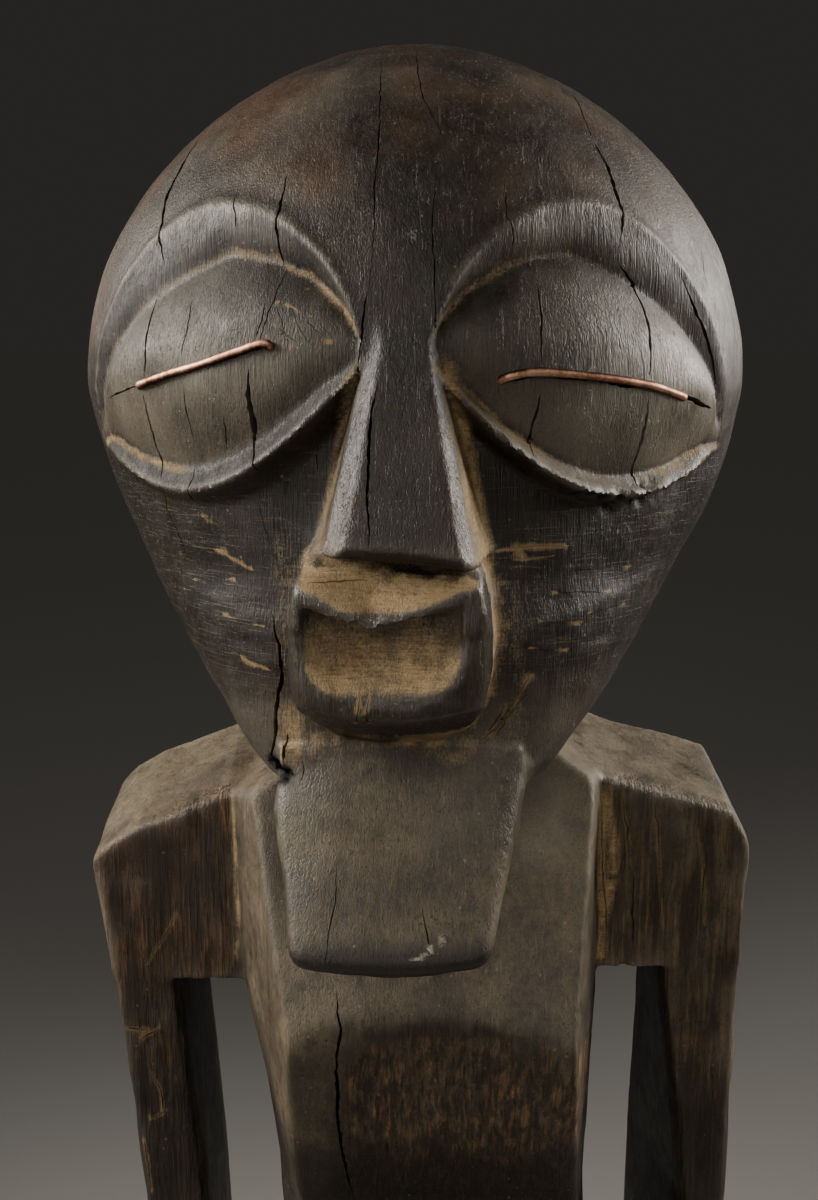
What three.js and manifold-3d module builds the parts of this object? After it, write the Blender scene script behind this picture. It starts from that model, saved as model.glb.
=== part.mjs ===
// A standing power figure carved from one block of dark hardwood: a domed head with large
// almond eyes, a wedge nose, a cup-shaped mouth and a shovel beard, square shoulders, arms
// bent to the belly, short legs and a low round base. A copper wire lies in each eye slit.
// Millimetres, +Z up. The figure faces -Y and stands on Z = 0; the origin is the middle of
// the underside. The carver's unevenness is kept: the face is turned a little to one side,
// one shoulder is lower and the trunk drifts sideways.
import * as THREE from "three";
import { ConvexGeometry } from "three/addons/geometries/ConvexGeometry.js";
import { mergeVertices } from "three/addons/utils/BufferGeometryUtils.js";
import Module from "manifold-3d";

const wasm = await Module();
wasm.setup();

// Driving dimensions.
const HEIGHT = 660; // ground to crown
const HEAD_HALF_WIDTH = 79.4;
const DOME_RISE = 78; // widest level of the head to the crown
const JAW_DROP = 85; // widest level of the head to the underside of the jaw
const WIRE_RADIUS = 0.8;
const GAP = 0.3; // between the wire and the wood around it
const BASE_RADIUS = 90;
const BASE_HEIGHT = 36;
const FACE_TURN = THREE.MathUtils.degToRad(-3.3); // the face looks a little to the figure's right

// The level where the head is widest, and the upright axis of the head there.
const BROAD_Z = HEIGHT - DOME_RISE;
const JAW_Z = BROAD_Z - JAW_DROP;
const HEAD_X = 1.6;
const HEAD_Y = 6;

// Geometry to solid and back. Only positions are kept, so that shared vertices merge.
function solid(geometry) {
  const bare = new THREE.BufferGeometry();
  const source = geometry.index ? geometry.toNonIndexed() : geometry;
  bare.setAttribute("position", source.getAttribute("position").clone());
  const merged = mergeVertices(bare, 1e-3);
  return new wasm.Manifold(
    new wasm.Mesh({
      numProp: 3,
      vertProperties: merged.attributes.position.array,
      triVerts: new Uint32Array(merged.index.array),
    }),
  );
}

function geometryOf(body) {
  const mesh = body.getMesh();
  const positions = new Float32Array(mesh.numVert * 3);
  for (let i = 0; i < mesh.numVert; i++) {
    const start = i * mesh.numProp;
    positions.set(mesh.vertProperties.subarray(start, start + 3), i * 3);
  }
  const geometry = new THREE.BufferGeometry();
  geometry.setAttribute("position", new THREE.BufferAttribute(positions, 3));
  geometry.setIndex(new THREE.BufferAttribute(mesh.triVerts, 1));
  return geometry.toNonIndexed();
}

// A closed solid from rings of equal length, the first and last of them filled in.
function skin(rings) {
  const positions = [];
  const put = (...points) => points.forEach((p) => positions.push(p.x, p.y, p.z));
  const count = rings[0].length;
  for (let j = 0; j + 1 < rings.length; j++) {
    for (let i = 0; i < count; i++) {
      const k = (i + 1) % count;
      put(rings[j][i], rings[j][k], rings[j + 1][k]);
      put(rings[j][i], rings[j + 1][k], rings[j + 1][i]);
    }
  }
  const cap = (ring, flip) => {
    const middle = new THREE.Vector3();
    ring.forEach((p) => middle.addScaledVector(p, 1 / ring.length));
    ring.forEach((p, i) => {
      const next = ring[(i + 1) % ring.length];
      put(middle, ...(flip ? [next, p] : [p, next]));
    });
  };
  cap(rings[0], true);
  cap(rings[rings.length - 1], false);
  const geometry = new THREE.BufferGeometry();
  geometry.setAttribute("position", new THREE.Float32BufferAttribute(positions, 3));
  return solid(geometry);
}

const hull = (points) => solid(new ConvexGeometry(points));
const at = (x, y, z) => new THREE.Vector3(x, y, z);

// The head without its features. Each level is an oval, fuller behind than in front, and
// its widths and depths follow one power law each from the broad level down to the jaw.
function headLevel(z) {
  if (z >= BROAD_Z) {
    const rise = (z - BROAD_Z) / DOME_RISE;
    const shrink = Math.max(0, 1 - rise * rise) ** 0.56;
    return { side: HEAD_HALF_WIDTH * shrink, front: 74 * shrink, back: 78 * shrink, y: HEAD_Y };
  }
  const drop = (BROAD_Z - z) / JAW_DROP;
  const y = HEAD_Y - 34 * drop ** 1.7;
  return {
    side: HEAD_HALF_WIDTH - 52 * drop ** 1.52,
    front: y - (-68 + 10 * drop ** 1.6),
    back: 84 - 64 * drop ** 2 - y,
    y,
  };
}

// Distance from the head's axis to its surface, at an angle from straight ahead.
function headRadius(angle, z) {
  const level = headLevel(z);
  const depth = Math.cos(angle) > 0 ? level.front : level.back;
  return 1 / Math.hypot(Math.sin(angle) / level.side, Math.cos(angle) / depth);
}

// The point that stands proud of that surface by a height; negative heights lie inside.
function onHead(angle, z, proud) {
  const radius = headRadius(angle, z) + proud;
  return at(HEAD_X + radius * Math.sin(angle), headLevel(z).y - radius * Math.cos(angle), z);
}

function headForm() {
  const aroundSteps = 40;
  const domeSteps = 9;
  const jawSteps = 8;
  const levels = [];
  for (let j = 0; j <= jawSteps; j++) levels.push(JAW_Z + (JAW_DROP * j) / jawSteps);
  for (let j = 1; j < domeSteps; j++) {
    levels.push(BROAD_Z + DOME_RISE * Math.sin((j / domeSteps) * (Math.PI / 2)));
  }
  levels.push(HEIGHT - 0.02);
  return skin(
    levels.map((z) => {
      const ring = [];
      for (let i = 0; i < aroundSteps; i++) ring.push(onHead((i / aroundSteps) * 2 * Math.PI, z, 0));
      return ring;
    }),
  );
}

// Eye outlines, over the distance s round the head from the middle of the face.
const ARC_RADIUS = 75;
const EYE_START = 7.4;
const EYE_END = 88;
const EYE_LEVEL = 588;
const quarter = (t) => Math.sqrt(Math.max(0, 1 - t * t));

function browEdge(s) {
  const t = (s - 45) / (s < 45 ? 38 : 42);
  return EYE_LEVEL + 31.8 * quarter(t) - 15 * (Math.max(0, s - 45) / 40) ** 2.2;
}

function socketLine(s) {
  const t = (s - 42) / (s < 42 ? 35.5 : 41);
  return EYE_LEVEL + 22 * quarter(t) - Math.max(0, s - 42) * 0.29;
}

function lidEdge(s) {
  const t = (s - 55) / (s < 55 ? 48 : 60);
  return EYE_LEVEL - 27 * (1 - t * t);
}

// The eye's four lines from the bottom up: its rim, the groove under the lid, the groove
// over the lid and the brow. A step w counts them, with fractions in between.
function eyeLines(s) {
  const low = lidEdge(s);
  const high = browEdge(s);
  const span = high - low;
  const over = THREE.MathUtils.clamp(socketLine(s), low + span * 0.5, low + span * 0.93);
  return [low, low + Math.min(4, span * 0.12), over, high];
}

function eyeLevel(s, w) {
  const lines = eyeLines(s);
  const step = Math.min(2, Math.floor(w));
  return lines[step] + (lines[step + 1] - lines[step]) * (w - step);
}

const SOCKET_DEPTH = 7;

function eyeRelief(s, w) {
  const along = (s - EYE_START) / (EYE_END - EYE_START);
  const depth = SOCKET_DEPTH * Math.min(1, 7 * along, 5 * (1 - along));
  if (w >= 2) return -depth * (3 - w);
  if (w <= 1) return -0.7 * depth * w;
  const across = 2 * w - 3;
  const floor = -depth * (across > 0 ? 1 : 0.7);
  return floor + (depth - 0.4) * quarter(across);
}

// A cutter whose inner face is a relief over the head, by rows w from s to s.
function reliefCutter(side, sFrom, sTo, levelAt, relief, rows) {
  const columns = 24;
  const outside = 30;
  const rings = [];
  for (let i = 0; i <= columns; i++) {
    const s = sFrom + ((sTo - sFrom) * i) / columns;
    const line = (proud) => rows.map((w) => {
      return onHead(FACE_TURN + (side * s) / ARC_RADIUS, levelAt(s, w), proud(s, w));
    });
    rings.push([...line(relief), ...line(() => outside).reverse()]);
  }
  return skin(side > 0 ? rings : rings.reverse());
}

const EYE_ROWS = [0, 1, 1.06, 1.18, 1.34, 1.5, 1.66, 1.82, 1.94, 2, 3];

function eyeCutter(side) {
  return reliefCutter(side, EYE_START, EYE_END, eyeLevel, eyeRelief, EYE_ROWS);
}

// The cheek is hollowed under the lid's edge, deepest beside the nose.
const CHEEK_FOOT = 528;

function cheekCutter(side) {
  const top = (s) => lidEdge(s) - 1.6;
  const foot = (s) => Math.min(CHEEK_FOOT + 0.18 * s, top(s) - 3);
  const relief = (s, v) => {
    const inward = 7.5 - 5 * Math.min(1, s / 70);
    return 0.6 - (inward + 0.6) * v ** 0.8;
  };
  const levelAt = (s, v) => foot(s) + (top(s) - foot(s)) * v;
  return reliefCutter(side, 6, 84, levelAt, relief, [0, 0.3, 0.6, 0.85, 1]);
}

// A point of the face: across, out from the head's axis, and up, turned with the face.
function onFace(across, out, z) {
  const c = Math.cos(FACE_TURN);
  const s = Math.sin(FACE_TURN);
  return at(HEAD_X + across * c + out * s, HEAD_Y - out * c + across * s, z);
}

const mirrored = (across, out, z, drop = 0, shift = 0) => [
  onFace(shift + across, out, z - drop / 2),
  onFace(shift - across, out, z + drop / 2),
];

// The nose is a wedge with a flat front. Its foot is cut square and runs a little downhill.
const NOSE = { top: 598, foot: 551.5, out: 90, footHalf: 14.6, bridgeHalf: 5, slope: 2.2, shift: 1 };

function nose() {
  const { top, foot, out, footHalf, bridgeHalf, slope, shift } = NOSE;
  const root = 62;
  const pair = (across, depth, z, drop) => mirrored(across, depth, z, drop, shift);
  return hull([
    ...pair(bridgeHalf, 75.5, top - 6, 0),
    ...pair(bridgeHalf + 1.5, root, top, 0),
    ...pair(footHalf - 2.5, out, foot + 2, slope),
    ...pair(footHalf, out - 2.5, foot + 1, slope),
    ...pair(footHalf - 1.5, out - 2.5, foot, slope),
    ...pair(footHalf + 2, 72, foot, slope),
    ...pair(footHalf + 2, root, foot, slope),
  ]);
}

// The mouth is a round-bottomed cup with a thin rim, under a slope from the nose.
const MOUTH = { top: 547.5, foot: 517.5, half: 19, out: 91, wall: 3.8, hollow: 9, corner: 13 };

function cupOutline(half, top, foot, corner, dip) {
  const steps = 6;
  const points = [new THREE.Vector2(-half, top), new THREE.Vector2(0, top - dip)];
  points.push(new THREE.Vector2(half, top));
  for (const side of [1, -1]) {
    for (let i = 0; i <= steps; i++) {
      const turn = ((side > 0 ? i : steps - i) / steps) * (Math.PI / 2);
      const across = side * (half - corner + corner * Math.cos(turn));
      points.push(new THREE.Vector2(across, foot + corner - corner * Math.sin(turn)));
    }
  }
  return points;
}

function cup(outline, from, to, foreshorten) {
  const ring = (out, scale) => {
    const middle = (MOUTH.top + MOUTH.foot) / 2;
    return outline.map((p) => onFace(p.x * scale, out, middle + (p.y - middle) * scale)).reverse();
  };
  return skin([ring(from, foreshorten), ring(to, 1)]);
}

function mouth() {
  const { top, foot, half, out, wall, hollow, corner } = MOUTH;
  const body = cup(cupOutline(half, top, foot, corner, 5), 60, out, 1.06);
  const inside = cupOutline(half - wall, top - 2.4, foot + 7, corner - 5, 6.4);
  inside.forEach((p) => (p.x -= 1));
  const bowl = cup(inside, out - hollow, out + 4, 0.94);
  const slope = hull([
    ...mirrored(half - 4, 62, top + 7),
    ...mirrored(half - 3, 78, top + 5),
    ...mirrored(half, out - 2.5, top - 0.5),
    onFace(0, out - 1, top - 5),
    ...mirrored(half, 62, top - 9),
    ...mirrored(half - 1, out - 3, top - 7),
  ]);
  const valley = hull([
    onFace(0, out + 6, top - 5.2),
    ...mirrored(half + 6, out + 6, top + 1.8),
    onFace(0, out + 6, top + 12),
    onFace(0, 80, top + 3),
    ...mirrored(half + 6, 80, top + 6.4),
    onFace(0, 80, top + 12),
  ]);
  return body.add(slope).subtract(valley).subtract(bowl);
}

// The beard is a flat shovel that leans forward from the jaw and hangs free of the chest.
const BEARD = { topZ: 507, footZ: 468, topY: -61, footY: -83, topHalf: 27, footHalf: 20.5 };
const BEARD_THICKNESS = 14;

function beard() {
  const lean = new THREE.Vector2(BEARD.footY - BEARD.topY, BEARD.footZ - BEARD.topZ).normalize();
  const back = new THREE.Vector2(-lean.y, lean.x).multiplyScalar(BEARD_THICKNESS);
  const topX = -1.9;
  const footX = -4.1;
  const edge = (x, half, y, z, depth) => [-1, 1].map((side) =>
    at(x + side * half, y + back.x * depth, z + back.y * depth));
  const middleY = (BEARD.topY * 0.35) + (BEARD.footY * 0.65);
  const middleZ = (BEARD.topZ * 0.35) + (BEARD.footZ * 0.65);
  const blade = hull([
    ...edge(topX, BEARD.topHalf, BEARD.topY, BEARD.topZ, 0),
    ...edge(topX, BEARD.topHalf, BEARD.topY, BEARD.topZ, 1),
    ...edge(footX, BEARD.footHalf + 2.6, middleY, middleZ, 0.15),
    ...edge(footX, BEARD.footHalf, BEARD.footY, BEARD.footZ, 0.15),
    ...edge(footX, BEARD.footHalf - 2.5, BEARD.footY, BEARD.footZ - 1, 0.02),
    ...edge(footX, BEARD.footHalf - 1, BEARD.footY, BEARD.footZ, 1),
    at(footX, BEARD.footY - 0.8, BEARD.footZ - 1.6),
  ]);
  const root = hull([
    ...edge(topX, BEARD.topHalf, BEARD.topY, BEARD.topZ, 0),
    ...edge(topX, BEARD.topHalf - 4, BEARD.topY + 10, BEARD.topZ - 14, 1),
    ...edge(topX, BEARD.topHalf, -34, JAW_Z + 6, 0),
    ...edge(topX, BEARD.topHalf, -30, JAW_Z - 2, 0),
  ]);
  return blade.add(root);
}

// A bar of the body: rings of a rectangle with cut corners, one for each level.
function faceted(levels) {
  return skin(
    levels.map(({ z, x, half, front, back, cut }) => {
      const points = [
        [x - half + cut, front], [x + half - cut, front],
        [x + half, front + cut], [x + half, back - cut],
        [x + half - cut, back], [x - half + cut, back],
        [x - half, back - cut], [x - half, front + cut],
      ];
      return points.map(([px, py]) => at(px, py, z));
    }),
  );
}

const NECK = { x: 0, y: 8, radius: 28, foot: 470, top: 532 };

function neck() {
  const column = new THREE.CylinderGeometry(NECK.radius, NECK.radius + 2, NECK.top - NECK.foot, 24);
  column.rotateX(Math.PI / 2);
  column.translate(NECK.x, NECK.y, (NECK.top + NECK.foot) / 2);
  return solid(column);
}

// The trunk, level by level: x is its middle, face the half width of its flat front, side
// its greatest half width, at the depth sideY. The chest leans out to a ledge, then come
// a waist, a round belly and the hips.
const TRUNK = [
  { z: 188, x: 0, face: 26, side: 43, front: -24, sideY: -8, back: 40 },
  { z: 220, x: 1, face: 30, side: 47, front: -32, sideY: -10, back: 54 },
  { z: 248, x: 3, face: 27, side: 43, front: -42, sideY: -14, back: 47 },
  { z: 274, x: 5, face: 22, side: 43, front: -60, sideY: -22, back: 38 },
  { z: 302, x: 6, face: 22, side: 42, front: -62, sideY: -22, back: 36 },
  { z: 334, x: 7, face: 26, side: 39, front: -42, sideY: -12, back: 36 },
  { z: 376, x: 7.2, face: 35.5, side: 39.5, front: -30, sideY: -8, back: 38 },
  { z: 424, x: 3.2, face: 36.5, side: 46.5, front: -46, sideY: -6, back: 40 },
  { z: 430, x: 2.8, face: 36, side: 46.8, front: -46.5, sideY: -6, back: 40 },
  { z: 480, x: 1.4, face: 43, side: 47.5, front: -20, sideY: -7, back: 38 },
  { z: 488, x: 1, face: 34, side: 37, front: -14, sideY: -6, back: 34 },
];

function trunk() {
  return skin(
    TRUNK.map(({ z, x, face, side, front, sideY, back }) => {
      const rear = back - 9;
      const points = [
        [-face, front], [face, front], [side, sideY], [side, rear],
        [side - 9, back], [9 - side, back], [-side, rear], [-side, sideY],
      ];
      return points.map(([px, py]) => at(x + px, py, z));
    }),
  );
}

// Shoulders are square blocks set back from the chest, with sloping tops. The arms hang
// from them like bars: each level of a bar is its outer edge, then its inner edge in front
// and behind.
const ARM_FRONT = -8;
const SHOULDER_BACK = 34;
const ELBOW_Z = 318;
const ARMS = [
  {
    side: -1, neck: [479.5, 487], crest: [[60.6, 472.8], [69.4, 469.7], [77, 465]],
    corner: [[80.3, -8, 460.8], [84.3, 5, 462.5], [83, 34, 466.5]],
    pit: 427, levels: [[433, 77.3, 61.5, 59.5], [362, 71.4, 55.2, 54.6], [ELBOW_Z, 69.5, 53, 53]],
  },
  {
    side: 1, neck: [485, 490], crest: [[57.5, 480.6], [67.5, 478], [75.5, 476]],
    corner: [[85.3, -8, 472.5], [87.5, 8, 474.5], [87, 34, 471.5]],
    pit: 430.5, levels: [[436, 87.3, 65.9, 66.6], [362, 87.4, 74, 65], [ELBOW_Z, 85, 70, 65]],
  },
];

function shoulder({ side, neck, crest, corner, pit, levels }) {
  const points = [ARM_FRONT, SHOULDER_BACK].flatMap((y, i) => [
    at(side * 30, y, neck[i]), at(side * 47, y, neck[i] - 1),
    at(side * 30, y, pit), at(side * levels[0][1], y, pit),
    ...crest.map(([x, z]) => at(side * x, y, z + i * (neck[1] - neck[0]) * 0.7)),
  ]);
  return hull([...points, ...corner.map(([x, y, z]) => at(side * x, y, z))]);
}

function arm(row) {
  const { side, levels } = row;
  const bar = skin(
    [...levels].reverse().map(([z, far, near, nearBack]) => {
      const back = SHOULDER_BACK;
      const points = [
        [near + 1.5, ARM_FRONT], [far - 3, ARM_FRONT], [far, ARM_FRONT + 4], [far, back - 6],
        [far - 6, back], [nearBack + 3, back], [nearBack, back - 4], [near, ARM_FRONT + 2],
      ];
      const ring = points.map(([px, py]) => at(side * px, py, z));
      return side > 0 ? ring : ring.reverse();
    }),
  );
  const [, far, near] = levels[2];
  const z = ELBOW_Z;
  const fore = hull([
    at(side * far, 30, z + 8), at(side * (far - 2), 30, z - 12), at(side * near, 34, z + 8),
    at(side * near, 30, z - 14), at(side * far, -12, z + 10), at(side * far, -6, z - 18),
    at(side * near, 10, z + 10), at(side * 47, -54, z + 2), at(side * 47, -52, z - 20),
    at(side * 32, -47, z + 2), at(side * 32, -45, z - 20),
  ]);
  return shoulder(row).add(bar).add(fore).add(hand(side));
}

// A flat hand on the side of the belly, with four fingers parted by notches.
function hand(side) {
  const palm = hull([
    at(side * 48, -51, ELBOW_Z + 3), at(side * 48, -49, ELBOW_Z - 21),
    at(side * 34, -68, ELBOW_Z + 4), at(side * 34, -66, ELBOW_Z - 22),
    at(side * 14, -68, ELBOW_Z + 1), at(side * 14, -66, ELBOW_Z - 19),
    at(side * 30, -40, ELBOW_Z), at(side * 30, -40, ELBOW_Z - 18), at(side * 14, -52, ELBOW_Z - 4),
    at(side * 14, -52, ELBOW_Z - 14),
  ]);
  let made = palm;
  for (let i = 1; i < 4; i++) {
    const z = ELBOW_Z - 21 + i * 5.8;
    made = made.subtract(hull([
      ...[z - 0.9, z + 0.9].flatMap((level) => [at(side * 10, -72, level), at(side * 33, -72, level)]),
      at(side * 10, -65.4, z), at(side * 33, -65.4, z),
    ]));
  }
  return made;
}

// Legs with bent knees and broad flat feet, toes parted by notches.
const FOOT = { half: 17, heel: 36, toe: -68, instep: 30, toeHeight: 13 };
const LEG_X = 25;

function leg(side) {
  const x = side * LEG_X;
  const bar = faceted([
    { z: BASE_HEIGHT + 4, x, half: 13.5, front: -7, back: 27, cut: 5 },
    { z: BASE_HEIGHT + 34, x, half: 14, front: -9, back: 27, cut: 5 },
    { z: 120, x, half: 17.5, front: -26, back: 22, cut: 6 },
    { z: 140, x, half: 18.5, front: -30, back: 20, cut: 7 },
    { z: 196, x: side * 23.5, half: 20.5, front: -24, back: 42, cut: 9 },
  ]);
  const low = BASE_HEIGHT - 4;
  let foot = hull([
    ...[low, BASE_HEIGHT + 8].flatMap((z) => [-1, 1].flatMap((e) => [
      at(x + e * (FOOT.half - 3), FOOT.heel, z), at(x + e * FOOT.half, FOOT.heel - 5, z),
      at(x + e * (FOOT.half + 2), FOOT.toe + 8, z), at(x + e * (FOOT.half - 5), FOOT.toe, z),
    ])),
    ...[-1, 1].flatMap((e) => [
      at(x + e * 12, 26, BASE_HEIGHT + FOOT.instep), at(x + e * 12, -8, BASE_HEIGHT + FOOT.instep),
      at(x + e * 15, -50, BASE_HEIGHT + FOOT.toeHeight),
    ]),
  ]);
  for (let i = 1; i < 5; i++) {
    const toeX = x - FOOT.half + (i * 2 * FOOT.half) / 5;
    foot = foot.subtract(hull([
      at(toeX - 1.2, FOOT.toe - 4, BASE_HEIGHT + 20), at(toeX + 1.2, FOOT.toe - 4, BASE_HEIGHT + 20),
      at(toeX, FOOT.toe - 4, BASE_HEIGHT + 1), at(toeX - 1.2, FOOT.toe + 16, BASE_HEIGHT + 20),
      at(toeX + 1.2, FOOT.toe + 16, BASE_HEIGHT + 20), at(toeX, FOOT.toe + 16, BASE_HEIGHT + 9),
    ]));
  }
  return bar.add(foot);
}

function navel() {
  const button = new THREE.SphereGeometry(7, 16, 10);
  button.translate(5.5, -61, 290);
  return solid(button);
}

function base() {
  const edge = 3;
  const profile = [
    [0, 0], [BASE_RADIUS - edge, 0], [BASE_RADIUS, edge], [BASE_RADIUS, BASE_HEIGHT - 5],
    [BASE_RADIUS - 5, BASE_HEIGHT], [0, BASE_HEIGHT],
  ].map(([r, y]) => new THREE.Vector2(r, y));
  const disc = new THREE.LatheGeometry(profile, 48);
  disc.rotateX(Math.PI / 2);
  return solid(disc);
}

// The line of each eye slit, as distance s round the head and height.
const SLITS = [
  {
    side: -1, wire: [0, 3],
    slit: [[26.3, 592.1], [41, 588.6], [51, 586], [61.3, 583.3], [78.5, 579.7]],
  },
  {
    side: 1, wire: [0, 4],
    slit: [[21.6, 585.5], [29.3, 586.7], [42.7, 585.7], [55.5, 583.8], [66, 581], [78.7, 578]],
  },
];

function slitPoint(side, [s, z], proud) {
  const [, under, over] = eyeLines(s);
  const w = 1 + (z - under) / (over - under);
  return onHead(FACE_TURN + (side * s) / ARC_RADIUS, z, eyeRelief(s, w) + proud);
}

// A wire lies half sunk in its slit, and both its ends are bent into the wood.
function wireCurve({ side, slit, wire }) {
  const run = slit.slice(wire[0], wire[1] + 1);
  const first = run[0];
  const last = run[run.length - 1];
  const points = [
    slitPoint(side, first, -4.5),
    slitPoint(side, first, -1.2),
    slitPoint(side, [first[0] + 1, first[1]], 0.3),
    ...run.slice(1, -1).map((p) => slitPoint(side, p, 0.5)),
    slitPoint(side, [last[0] - 1, last[1]], 0.3),
    slitPoint(side, last, -1.2),
    slitPoint(side, last, -4.5),
  ];
  return new THREE.CatmullRomCurve3(points, false, "centripetal");
}

function tube(curve, radius, steps, sides) {
  const section = new THREE.Shape();
  for (let i = 0; i < sides; i++) {
    const turn = (i / sides) * 2 * Math.PI;
    const corner = [radius * Math.cos(turn), radius * Math.sin(turn)];
    if (i === 0) section.moveTo(...corner);
    else section.lineTo(...corner);
  }
  section.closePath();
  return solid(
    new THREE.ExtrudeGeometry(section, { steps, extrudePath: curve, bevelEnabled: false }),
  );
}

function slitCutter(row) {
  const points = row.slit.map((p) => slitPoint(row.side, p, 0));
  const slot = tube(new THREE.CatmullRomCurve3(points), 1.1, 20, 6);
  const bed = tube(wireCurve(row), WIRE_RADIUS + GAP + 0.15, 24, 8);
  return slot.add(bed);
}

// The parts of the figure are one piece of wood, so they are all joined.
let wood = headForm();
for (const side of [-1, 1]) wood = wood.subtract(eyeCutter(side)).subtract(cheekCutter(side));
for (const piece of [nose(), mouth(), beard(), neck(), trunk(), navel(), base()]) {
  wood = wood.add(piece);
}
for (const row of ARMS) wood = wood.add(arm(row));
for (const side of [-1, 1]) wood = wood.add(leg(side));
for (const row of SLITS) wood = wood.subtract(slitCutter(row));

const woodMaterial = new THREE.MeshStandardMaterial({ color: 0x2e2723, roughness: 0.5 });
const copperMaterial = new THREE.MeshStandardMaterial({ color: 0xb0694a, roughness: 0.35, metalness: 1 });

const figure = new THREE.Group();
const body = new THREE.Mesh(geometryOf(wood), woodMaterial);
body.name = "carved_figure";
figure.add(body);

const wireNames = { "-1": "eye_wire_right", "1": "eye_wire_left" };
for (const row of SLITS) {
  const wire = new THREE.Mesh(geometryOf(tube(wireCurve(row), WIRE_RADIUS, 24, 8)), copperMaterial);
  wire.name = wireNames[row.side];
  figure.add(wire);
}

export default figure;
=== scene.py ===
# A standing power figure carved from one block of dark hardwood, with a copper wire in each
# eye slit. Shapes are worked out in millimetres in the frame of the CAD model (+Z up, the
# face towards -Y) and turned to metres when each mesh is made.
import math
from itertools import product
import bmesh
import bpy
import numpy as np
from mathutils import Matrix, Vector


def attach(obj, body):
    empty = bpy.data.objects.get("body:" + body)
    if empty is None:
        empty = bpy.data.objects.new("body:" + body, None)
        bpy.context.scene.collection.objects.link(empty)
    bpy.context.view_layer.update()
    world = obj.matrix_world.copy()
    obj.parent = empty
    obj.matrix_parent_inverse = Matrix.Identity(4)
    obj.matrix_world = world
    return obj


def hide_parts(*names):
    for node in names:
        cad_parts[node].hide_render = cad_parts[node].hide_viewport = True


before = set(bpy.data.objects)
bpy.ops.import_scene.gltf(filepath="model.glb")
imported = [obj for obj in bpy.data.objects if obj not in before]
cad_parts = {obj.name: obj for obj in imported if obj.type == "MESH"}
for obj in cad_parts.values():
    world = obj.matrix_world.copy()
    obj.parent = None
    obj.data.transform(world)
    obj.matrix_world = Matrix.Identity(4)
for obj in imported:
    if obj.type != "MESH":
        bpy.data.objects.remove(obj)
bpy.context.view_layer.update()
MM = 0.001

# The camera stands close, a little above the eyes, and looks down at the face. The lens
# takes in the head and the trunk down to the waist. Places in metres, lens in millimetres.
CAMERA_PLACE = (0.0, -0.334, 0.5983)
CAMERA_TILT = 78.0
CAMERA_LENS = 40.5
CAMERA_SENSOR = 36.0


def put_in_scene(name, data):
    thing = bpy.data.objects.new(name, data)
    bpy.context.scene.collection.objects.link(thing)
    return thing


camera_data = bpy.data.cameras.new("camera")
camera_data.sensor_fit = "AUTO"
camera_data.sensor_width = CAMERA_SENSOR
camera_data.lens = CAMERA_LENS
camera = put_in_scene("camera", camera_data)
camera.location = CAMERA_PLACE
camera.rotation_euler = (math.radians(CAMERA_TILT), 0.0, 0.0)
bpy.context.scene.camera = camera


# The head is a smooth dome that runs down to a narrow, squared jaw, cut with an adze and
# scraped round with a knife. Each level is an oval, fuller behind and fuller on one cheek.
# All the wood is held as a field: negative inside, zero on its surface, positive in the air.
CROWN = 660.0
BROAD = 582.0
JAW = 497.0
HEAD_X = 1.6
HEAD_Y = 6.0
HALF_HEAD = 79.4
FACE_TURN = math.radians(-3.3)
FACE_ARC = 75.0
FULLER_Z = [495.0, 503.0, 507.0, 515.0, 529.0, 543.0, 552.0, 560.0, 575.0]
FULLER_RIGHT = [5.4, 4.9, 4.3, 3.0, 2.5, 1.8, 1.1, 0.7, 0.0]
FULLER_LEFT = [1.0, 1.0, 0.9, 0.9, 0.6, 0.8, 1.4, 1.2, 0.0]


def clamp(value):
    return np.clip(value, 0.0, 1.0)


def blend_min(a, b, ease):
    h = clamp(0.5 + 0.5 * (b - a) / ease)
    return b + (a - b) * h - ease * h * (1.0 - h)


def blend_max(a, b, ease):
    return -blend_min(-a, -b, ease)


def head_level(z):
    rise = clamp((z - BROAD) / (CROWN - BROAD))
    shrink = np.maximum(1.0 - rise * rise, 1e-6) ** 0.56
    drop = clamp((BROAD - z) / (BROAD - JAW))
    dome = z >= BROAD
    middle = HEAD_Y - 34.0 * drop**1.7
    side = np.where(dome, HALF_HEAD * shrink, HALF_HEAD - 52.0 * drop**1.52)
    front = np.where(dome, 74.0 * shrink, middle + 68.0 - 10.0 * drop**1.6)
    back = np.where(dome, 78.0 * shrink, 84.0 - 64.0 * drop**2 - middle)
    return middle, side, front, back


LEVELS = np.linspace(JAW, CROWN - 0.05, 700)
LEVEL_LEAN = np.gradient(head_level(LEVELS)[1], LEVELS)


def head_polar(x, y, z):
    middle, side, front, back = head_level(z)
    dx = x - HEAD_X
    dy = middle - y
    reach = np.sqrt(dx * dx + dy * dy) + 1e-4
    depth = np.where(dy > 0, front, back)
    side = side + np.where(dx < 0, np.interp(z, FULLER_Z, FULLER_RIGHT), np.interp(z, FULLER_Z, FULLER_LEFT))
    square = 2.0 + 2.0 * clamp((545.0 - z) / 42.0) ** 1.5 * (dy > 0)
    oval = (np.abs(dx) / reach / side) ** square + (np.abs(dy) / reach / depth) ** square
    return reach, oval ** (-1.0 / square), np.arctan2(dx, dy)


# The eyes are cut into the dome: a brow edge left proud, a cove under it, a groove, a lid
# that bulges like a coffee bean, and a rim along the cheek. Turn is the distance round the
# head from the middle of the face, less than zero on the figure's own right.
EYE_LEVEL = 588.0


def quarter(t):
    return np.sqrt(np.maximum(0.0, 1.0 - t * t))


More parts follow.
